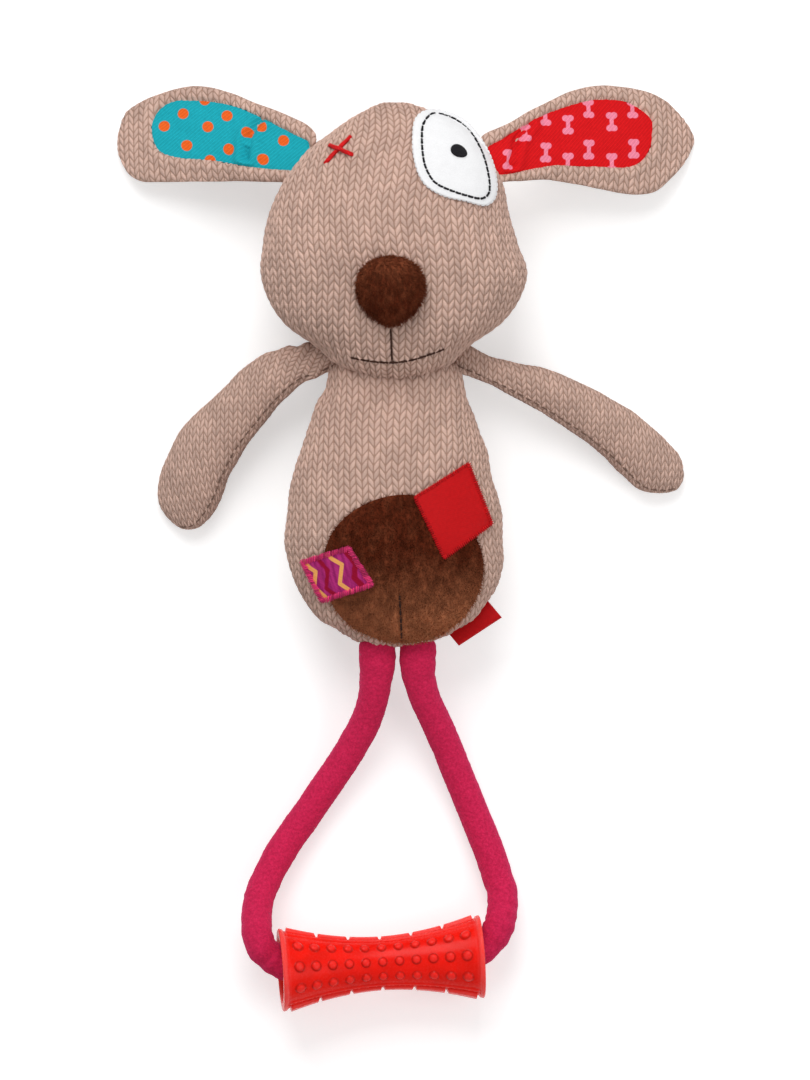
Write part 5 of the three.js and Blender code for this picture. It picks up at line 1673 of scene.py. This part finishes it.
def crumpled(crease):
    """A lining's unevenness, with one deep crease."""
    def rough(points, share):
        away = distance_to_line(points[:, :2], crease, 0.0) / MM
        creased = np.exp(-(away / 1.3) ** 2) - 1.1 * np.exp(-((away - 3.0) / 1.7) ** 2)
        return grain(points, 13.0, 23) * 0.35 - 1.15 * creased * soft_step(1 - share, 0.0, 0.1)
    return rough


class TUGTOY_OT_ears(Operator):
    """Floppy ears with their printed linings"""
    bl_idname = "tugtoy.ears"
    bl_label = "Ears"

    dot_radius: number("Dot radius", 2.1 * MM, "Radius of the orange dots", 0.0, 0.01, "LENGTH")

    def execute(self, context):
        colours, fabric = settings_of(context)
        knit = bpy.data.materials["Taupe knit"]
        # each ear's last colour is its edge thread's, a darkened copy of the lining's colour: painted shade
        # along the lining's sunken rim
        for name, limb, shares, material, slot, crease, edge in (
            ("ear_left", EAR_LEFT, LINING_LEFT, dotted_finish(colours), "dotted_print", EAR_LEFT_CREASE,
             (0.006, 0.06, 0.07)),
            ("ear_right", EAR_RIGHT, LINING_RIGHT, bone_finish(colours), "bone_print", EAR_RIGHT_CREASE,
             (0.09, 0.008, 0.01)),
        ):
            form = limb_form(limb, fabric.spacing / MM)
            to_place = LimbPlace(limb)
            outline = np.array([(across * limb["width"], along * limb["length"]) for along, across in shares])
            outline = closed_smooth(counterclockwise(outline), 220)
            piece = knit_piece(
                f"{name}_knit", form, fabric, knit, folds=lining_well(outline), to_place=to_place,
                turn=to_place.turn, scale=(0.86, 0.9), seam_depth=0.5, seed=17,
            )
            sew_limb(piece, "head", name, to_place, "knit", f"{name}_front_panel", f"{name}_back_panel")
            rough = crumpled(to_place.in_plan(crease))
            lining = add_patch(
                f"{name}_print", outline, form.off, -1.25, 0.55, 0.75, material, roll=0.5, rough=rough,
                marks=self.prints(name, to_place), to_place=to_place,
            )
            sew_limb(lining, "head", name, to_place, slot, f"{name}_lining")
            # stitches round the lining, dark with painted shade for the rim's shadow
            lines = [dipped(form.off, part, -0.55, 0.2) for part in dashes(looped(outline), 1.7, 0.35)]
            thread = thread_finish(f"{name} edge thread", edge)
            seam = add_thread(f"{name}_edge_stitches", lines, 0.2, thread, sides=6, to_place=to_place)
            sew_limb(seam, "head", name, to_place, "brown_thread")
        return {"FINISHED"}

    def prints(self, name, to_place):
        """The distance marks of an ear's print: dots on the left, upright bones on the right."""
        if name == "ear_left":
            centres = to_place.in_plan(EAR_LEFT_DOTS)
            return {"dots": lambda flat: distance_to_dots(flat, centres, self.dot_radius / MM)}
        centres = to_place.in_plan(EAR_RIGHT_BONES)
        return {"bones": lambda flat: distance_to_bones(flat, centres, -to_place.turn)}


class TUGTOY_OT_face(Operator):
    """Plush nose, felt eye patch with its pupil and stitches, cross stitches and mouth"""
    bl_idname = "tugtoy.face"
    bl_label = "Face"

    def execute(self, context):
        colours, fabric = settings_of(context)
        surface = skin(head_form(1.0), 7, chin_folds, STUFFED["head"])
        self.nose(surface, colours, fabric)
        self.eye(surface, colours)
        self.cross(surface, colours)
        self.mouth(surface, colours)
        return {"FINISHED"}

    def nose(self, surface, colours, fabric):
        """A crowned cap of brown plush with its pile."""
        plush = pile_finish(
            "Brown plush", tuple(colours.plush), tuple(colours.plush_highlight), fineness=1700.0, clump=220.0,
            variation=0.14, sheen=0.05, distance=0.0009,
        )
        outline = closed_smooth(np.array(NOSE_OUTLINE) + NOSE, 150)

        def tufts(points, share):
            pile = fabric.pile / MM
            return grain(points, 2.4, 31) * 0.24 * pile + grain(points, 1.0, 32) * 0.08 * pile

        nose = add_patch(
            "nose_plush", outline, surface, 0.1, 0.9, 0.35, plush, crown=8.6, power=2.5, roll=0.5,
            rough=tufts,
            # painted highlight: the nose's top paler
            marks={"painted_highlight": lambda flat: 0.02 + 0.08 * soft_step(flat[:, 1], NOSE[1] - 6.0, NOSE[1] + 9.0)},
        )
        sew(nose, "head", "brown_plush", "nose_cap")
        pile = add_pile("nose_pile", nose, 4200, fabric.pile * 1.15, (0.1, -0.3, 0.0), 61)
        sew(pile, "head", "brown_plush")

    def eye(self, surface, colours):
        """A felt patch with an embroidered pupil, a running stitch and a sewn edge."""
        felt = felt_finish(colours)
        eye_edge = closed_smooth(np.array(EYE_OUTLINE) + EYE, 260)
        patch = add_patch("eye_felt", eye_edge, surface, 0.35, 0.95, 0.8, felt, roll=0.55)
        sew(patch, "head", "white_felt", "eye_patch")
        black = thread_finish("Black thread", tuple(colours.black), 0.6)
        angle = all_round(72)
        long_side = PUPIL_RADII[0] * np.cos(angle)
        short_side = PUPIL_RADII[1] * np.sin(angle) * (1 - 0.14 * np.cos(angle))
        pupil = np.column_stack([long_side, short_side]) @ plan_turn(math.radians(PUPIL_LEAN)) + PUPIL
        dot = add_patch("eye_pupil_embroidery", pupil, surface, 1.2, 0.45, 0.2, black, crown=0.25, roll=0.3)
        sew(dot, "head", "black_thread", "eye_pupil")
        inset = looped(closed_smooth(np.array(EYE_STITCHES) + EYE, 260))
        lines = [dipped(surface, part, 1.42, 0.35) for part in dashes(inset, 2.3, 0.12)]
        stitches = add_thread("eye_running_stitch", lines, 0.45, black, plies=2, twist=2.2)
        sew(stitches, "head", "black_thread", "eye_stitching")
        rim = [dipped(surface, part, 0.75, 0.5) for part in dashes(looped(eye_edge), 1.5, 0.35)]
        sew(add_thread("eye_felt_edge", rim, 0.3, felt, sides=6), "head", "white_felt")

    def cross(self, surface, colours):
        """Two crossed stitches of red yarn, which make the other eye."""
        red = thread_finish("Red yarn", tuple(colours.red_yarn), 0.75)
        for name, line, lift in (("long", CROSS_LONG, 0.7), ("short", CROSS_SHORT, 1.75)):
            plan = smooth(np.array(line) + CROSS, 40)
            rise = arch(40, 0.35)
            stitch = surface(plan[:, 0], plan[:, 1], lift * rise - 0.8 * (1 - rise))
            made = add_thread(f"cross_stitch_{name}_yarn", [stitch], 0.78, red, sides=14, plies=3, twist=1.6)
            sew(made, "head", "red_thread", f"cross_stitch_{name}")

    def mouth(self, surface, colours):
        """The mouth's stitches and the line that runs down to them from the nose."""
        brown = thread_finish("Brown thread", tuple(colours.brown_thread), 0.8)
        mouth = smooth(np.array(MOUTH) + (0, CHIN_Y), 180)
        lines = [dipped(surface, part, 0.28, 0.5) for part in dashes(mouth, 3.4, 0.25, 14)]
        sew(add_thread("mouth_thread", lines, 0.42, brown, plies=2), "head", "brown_thread", "mouth_stitch")
        line = dipped(surface, smooth(np.array(MUZZLE) + (0, CHIN_Y), 60), 0.2, 0.4)
        thread = add_thread("muzzle_thread", [line], 0.34, brown, plies=2)
        sew(thread, "head", "brown_thread", "muzzle_stitch")


def rounded_corners(corners, radius, per_side=26):
    """A four-sided outline with its corners rounded off."""
    corners = counterclockwise(corners)
    points = []
    count = len(corners)
    turn = np.linspace(0, 1, 5)[:, None]
    run = np.linspace(0, 1, per_side)[1:-1, None]
    for i in range(count):
        before, here, after = corners[i - 1], corners[i], corners[(i + 1) % count]
        into = unit(here - before)
        out = unit(after - here)
        start = here - into * radius
        end = here + out * radius
        points.append((1 - turn) ** 2 * start + 2 * turn * (1 - turn) * here + turn ** 2 * end)
        points.append(end + (after - out * radius - end) * run)
    return evenly(looped(np.vstack(points)), count * per_side + 1)[:-1]


def whipstitches(surface, outline, pitch, length, lift, lean=0.35, dip=0.75, wander=5):
    """Short slanted stitches that hold a patch's rim down all round."""
    spread = np.random.default_rng(wander)
    rim = looped(outline)
    along = length_along(rim)
    count = int(along[-1] / pitch)
    centre = outline.mean(axis=0)
    lines = []
    for i in range(count):
        at = along[-1] * i / count
        spot, ahead = at_lengths(rim, along, [at, (at + 0.5) % along[-1]])
        tangent = unit(ahead - spot)
        inward = np.array([-tangent[1], tangent[0]])
        if inward @ (centre - spot) < 0:
            inward = -inward
        inner = spot + inward * length * spread.uniform(0.68, 0.95) + tangent * lean * length
        outer = spot - inward * length * spread.uniform(0.18, 0.34)
        plan = outer + (inner - outer) * np.linspace(0, 1, 8)[:, None]
        dive = dip * (1 - arch(8)) * np.linspace(1.6, 0.6, 8)
        lines.append(surface(plan[:, 0], plan[:, 1], lift - dive))
    return lines


def heading_of(start, end):
    """The direction in plan from one point to another, as an angle."""
    return math.atan2(end[1] - start[1], end[0] - start[0])


class TUGTOY_OT_patches(Operator):
    """Belly plush, zigzag ribbon, bare label, side tag and their stitches"""
    bl_idname = "tugtoy.patches"
    bl_label = "Patches"

    zigzag_width: number("Zigzag width", 1.5 * MM, "Width of the yellow zigzags", 0.0, 0.01, "LENGTH")

    def execute(self, context):
        colours, fabric = settings_of(context)
        surface = skin(body_form(1.0), 3, neck_folds, STUFFED["body"])
        self.belly(surface, fabric)
        self.zigzag_patch(surface, colours)
        self.label_patch(surface, colours)
        self.belly_stitch(surface)
        self.side_tag()
        return {"FINISHED"}

    def belly(self, surface, fabric):
        """An oval of brown plush, with a painted highlight that makes it paler towards the hem, and its pile.
        """
        plush = bpy.data.materials["Brown plush"]
        angle = all_round(300)
        outline = np.column_stack([np.cos(angle), np.sin(angle)]) * BELLY_RADII + BELLY
        outline = outline + (outline - BELLY) * (np.sin(angle * 5 + 1.0) * 0.006)[:, None]

        def tufts(points, share):
            pile = fabric.pile / MM
            crease = np.exp(-((points[:, 0] - BELLY[0] + 0.6) / 1.6) ** 2)
            crease = crease * soft_step(26.0 - points[:, 1], 0, 8)
            return (grain(points, 2.6, 41) * 0.14 + grain(points, 1.3, 42) * 0.07) * pile - crease * 0.9

        # painted highlight: paler towards the hem, more so to the right
        def painted_highlight(flat):
            down = soft_step(40.0 - flat[:, 1], 0.0, 38.0)
            return down * (0.68 + 0.006 * flat[:, 0])

        belly = add_patch(
            "belly_plush", outline, surface, 0.2, 1.25, 0.6, plush, roll=1.2, rough=tufts,
            marks={"painted_highlight": painted_highlight},
        )
        sew(belly, "torso", "brown_plush", "belly_patch")
        seam = smooth(np.array(BELLY_STITCH), 12)
        trench = np.vstack([seam - (0.9, 0.0), (seam + (0.9, 0.0))[::-1]])
        covers = (ZIGZAG_CORNERS, LABEL_CORNERS, trench)
        pile = add_pile("belly_pile", belly, 11000, fabric.pile * 1.1, (-0.05, -0.2, 0.0), 67, covers)
        sew(pile, "torso", "brown_plush")

    def zigzag_patch(self, surface, colours):
        """A ribbon with two zigzags and their stripes, whipstitched all round in pink."""
        def zigzags(flat):
            width = self.zigzag_width / MM / 2
            return np.minimum.reduce([distance_to_line(flat, line, width) for line in ZIGZAGS])

        def stripes(flat):
            uneven = grain(np.column_stack([flat, flat[:, :1] * 0]), 2.4, 29) * 0.25
            away = [distance_to_line(flat, line, width) for line, width in ZIGZAG_SHADOWS]
            return np.minimum.reduce(away) + uneven * MM

        edge = rounded_corners(ZIGZAG_CORNERS, 0.8)
        ribbon = add_patch(
            "zigzag_ribbon", edge, surface, 1.3, 0.7, 0.35, ribbon_finish(colours), roll=0.5,
            marks={"zigzags": zigzags, "stripes": stripes},
            cloth_turn=-heading_of(ZIGZAG_CORNERS[0], ZIGZAG_CORNERS[1]),
        )
        sew(ribbon, "torso", "zigzag_ribbon", "zigzag_patch")
        pink = thread_finish("Hot pink thread", tuple(colours.hot_pink), 0.6, 0.38)
        lines = whipstitches(surface, edge, 0.66, 2.15, 2.4)
        border = add_thread("zigzag_whipstitches", lines, 0.27, pink, sides=7)
        sew(border, "torso", "pink_thread", "zigzag_patch_stitching")

    def label_patch(self, surface, colours):
        """A bare red ribbon with its stitched border."""
        edge = rounded_corners(LABEL_CORNERS, 0.9)
        label = add_patch(
            "label_plain", edge, surface, 1.3, 0.7, 0.6, label_finish(colours), roll=0.5,
            cloth_turn=-heading_of(LABEL_CORNERS[1], LABEL_CORNERS[0]),
        )
        sew(label, "torso", "red_label", "label_patch")
        red = thread_finish("Label thread", tuple(colours.red), 0.6, 0.25)
        lines = whipstitches(surface, edge, 0.8, 1.5, 2.35, lean=0.1, wander=8)
        border = add_thread("label_stitches", lines, 0.25, red, sides=6)
        sew(border, "torso", "red_thread", "label_patch_stitching")

    def belly_stitch(self, surface):
        """The short line of stitches below the patches."""
        brown = bpy.data.materials["Brown thread"]
        seam = smooth(np.array(BELLY_STITCH), 120)
        lines = [dipped(surface, part, 1.35, 0.5) for part in dashes(seam, 2.6, 0.3, 12)]
        sew(add_thread("belly_thread", lines, 0.4, brown, plies=2), "torso", "brown_thread", "belly_stitch")

    def side_tag(self):
        """A folded ribbon that stands out of the side seam and is shorter at its lower end."""
        start = np.array([*TAG_START, BODY_MIDDLE])
        end = np.array([*TAG_END, BODY_MIDDLE])
        along = unit(end - start)
        out = np.array([-along[1], along[0], 0.0])
        up = np.array([0.0, 0.0, 1.0])
        reach, bulge, thick = TAG_REACHES[0], 1.25, 0.45
        turn = np.linspace(-math.pi / 2, math.pi / 2, 13)
        arc = np.column_stack([reach - bulge + bulge * np.cos(turn), bulge * np.sin(turn)])
        lower = [(-5.0, -0.35), (-1.5, -0.5), (1.5, -1.0)]
        upper = [(1.5, 1.0), (-1.5, 0.5), (-5.0, 0.35)]
        fold = evenly(smooth(np.vstack([lower, arc, upper]), 60), 60)
        tangent = unit(np.gradient(fold, axis=0))
        normal = np.column_stack([tangent[:, 1], -tangent[:, 0]])
        loop = np.vstack([fold + normal * thick / 2, (fold - normal * thick / 2)[::-1]])
        count = 46
        width = np.linalg.norm(end - start)
        share = np.linspace(0, 1, count)[:, None, None]
        spread = 1 + share * (TAG_REACHES[1] / TAG_REACHES[0] - 1)
        sag = 0.2 * np.sin(share * 5.1 + 0.6)
        grid = start + along * width * share + out * (loop[:, :1] * spread) + up * (loop[:, 1:] + sag)
        cloth = np.zeros(grid.shape)
        cloth[..., 0] = share[..., 0] * width
        cloth[..., 1] = length_along(loop)
        ribbon = bpy.data.materials["Red label ribbon"]
        made = add_mesh("side_tag_ribbon", place(grid), tube_faces(count, len(loop)), ribbon, cloth * MM)
        sew(made, "torso", "red_label", "side_tag")


# Stage: the middle of the view, half the floor's width in metres, its points a side and its glow
VIEW_MIDDLE = (4.2, 41.8, BODY_MIDDLE)
FLOOR_REACH = 3.0
FLOOR_POINTS = 25
FLOOR_GLOW = 0.44


class TUGTOY_OT_camera(Operator):
    """Camera straight above the toy, far off with a long lens"""
    bl_idname = "tugtoy.camera"
    bl_label = "Camera"

    def execute(self, context):
        stage = context.scene.tug_toy_scene
        lens = bpy.data.cameras.new("Photo camera")
        lens.sensor_fit = "VERTICAL"
        lens.sensor_height = 24.0
        lens.lens = lens.sensor_height * stage.camera_height / stage.view_height
        lens.clip_end = 50.0
        camera = bpy.data.objects.new("Photo camera", lens)
        context.scene.collection.objects.link(camera)
        spot = place(VIEW_MIDDLE)
        camera.location = (spot[0], spot[1], spot[2] + stage.camera_height)
        context.scene.camera = camera
        return {"FINISHED"}


class TUGTOY_OT_studio(Operator):
    """Pale floor, even surround and two soft lamps"""
    bl_idname = "tugtoy.studio"
    bl_label = "Studio"

    def execute(self, context):
        stage = context.scene.tug_toy_scene
        scene = context.scene
        scene.view_settings.view_transform = "Standard"
        self.floor()
        world = bpy.data.worlds.new("Studio surround")
        scene.world = world
        world.use_nodes = True
        tree = world.node_tree
        background = tree.nodes["Background"]
        seen = node(tree, "ShaderNodeBackground")
        settle(seen, {"Color": (1, 1, 1, 1), "Strength": 1.0})
        settle(background, {"Color": (1, 1, 1, 1), "Strength": stage.surround})
        path = node(tree, "ShaderNodeLightPath")
        choose = node(tree, "ShaderNodeMixShader")
        rays = sums(tree, "MAXIMUM", path.outputs["Is Camera Ray"], path.outputs["Is Transmission Ray"])
        feed(tree, choose.inputs[0], rays)
        feed(tree, choose.inputs[1], background.outputs[0])
        feed(tree, choose.inputs[2], seen.outputs[0])
        feed(tree, tree.nodes["World Output"].inputs[0], choose.outputs[0])
        self.lamp("Key lamp", stage.key_power, (-0.2, 0.95, 1.1), 0.9)
        self.lamp("Fill lamp", stage.fill_power, (0.9, -0.3, 1.0), 0.8)
        return {"FINISHED"}

    def lamp(self, name, power, at, size):
        light = bpy.data.lights.new(name, "AREA")
        light.energy = power
        light.size = size
        lamp = bpy.data.objects.new(name, light)
        bpy.context.scene.collection.objects.link(lamp)
        lamp.location = at
        lamp.rotation_euler = (-Vector(at)).to_track_quat("-Z", "Y").to_euler()

    def floor(self):
        side = FLOOR_POINTS
        across = np.linspace(-FLOOR_REACH, FLOOR_REACH, side)
        points = [(x, y, 0.0) for y in across for x in across]
        corners = [r * side + k for r in range(side - 1) for k in range(side - 1)]
        faces = [(at, at + 1, at + side + 1, at + side) for at in corners]
        material, tree, shader = new_material("Studio floor", 0.9, specular=0.1)
        settle(shader, {"Base Color": (0.8, 0.8, 0.8, 1), "Emission Color": (1, 1, 1, 1)})
        path = node(tree, "ShaderNodeLightPath")
        rays = sums(tree, "MAXIMUM", path.outputs["Is Camera Ray"], path.outputs["Is Glossy Ray"])
        feed(tree, shader.inputs["Emission Strength"], times(tree, rays, FLOOR_GLOW))
        return add_mesh("studio_floor", points, faces, material)


class TUGTOY_PT_pieces(Panel):
    """Lists the toy's pieces and their settings"""
    bl_idname = "TUGTOY_PT_pieces"
    bl_label = "Plush tug toy"
    bl_space_type = "VIEW_3D"
    bl_region_type = "UI"
    bl_category = "Tug toy"

    def draw(self, context):
        layout = self.layout
        for operator in OPERATORS:
            layout.operator(operator.bl_idname)
        for holder in ("tug_toy_fabric", "tug_toy_colours", "tug_toy_scene"):
            box = layout.box()
            settings = getattr(context.scene, holder)
            for key in settings.__annotations__:
                box.prop(settings, key)


OPERATORS = (
    TUGTOY_OT_camera, TUGTOY_OT_leg_loop, TUGTOY_OT_chew_handle, TUGTOY_OT_body, TUGTOY_OT_head,
    TUGTOY_OT_arms, TUGTOY_OT_ears, TUGTOY_OT_face, TUGTOY_OT_patches, TUGTOY_OT_studio,
)
CLASSES = (ToyFabric, ToyColours, ToyScene, *OPERATORS, TUGTOY_PT_pieces)


def register():
    for made in CLASSES:
        bpy.utils.register_class(made)
    bpy.types.Scene.tug_toy_fabric = PointerProperty(type=ToyFabric)
    bpy.types.Scene.tug_toy_colours = PointerProperty(type=ToyColours)
    bpy.types.Scene.tug_toy_scene = PointerProperty(type=ToyScene)


def unregister():
    del bpy.types.Scene.tug_toy_scene
    del bpy.types.Scene.tug_toy_colours
    del bpy.types.Scene.tug_toy_fabric
    for made in reversed(CLASSES):
        bpy.utils.unregister_class(made)


def main():
    register()
    bpy.ops.tugtoy.camera()
    bpy.ops.tugtoy.leg_loop()
    bpy.ops.tugtoy.chew_handle()
    bpy.ops.tugtoy.body()
    bpy.ops.tugtoy.head()
    bpy.ops.tugtoy.arms()
    bpy.ops.tugtoy.ears()
    bpy.ops.tugtoy.face()
    bpy.ops.tugtoy.patches()
    bpy.ops.tugtoy.studio()


if __name__ == "__main__":
    main()
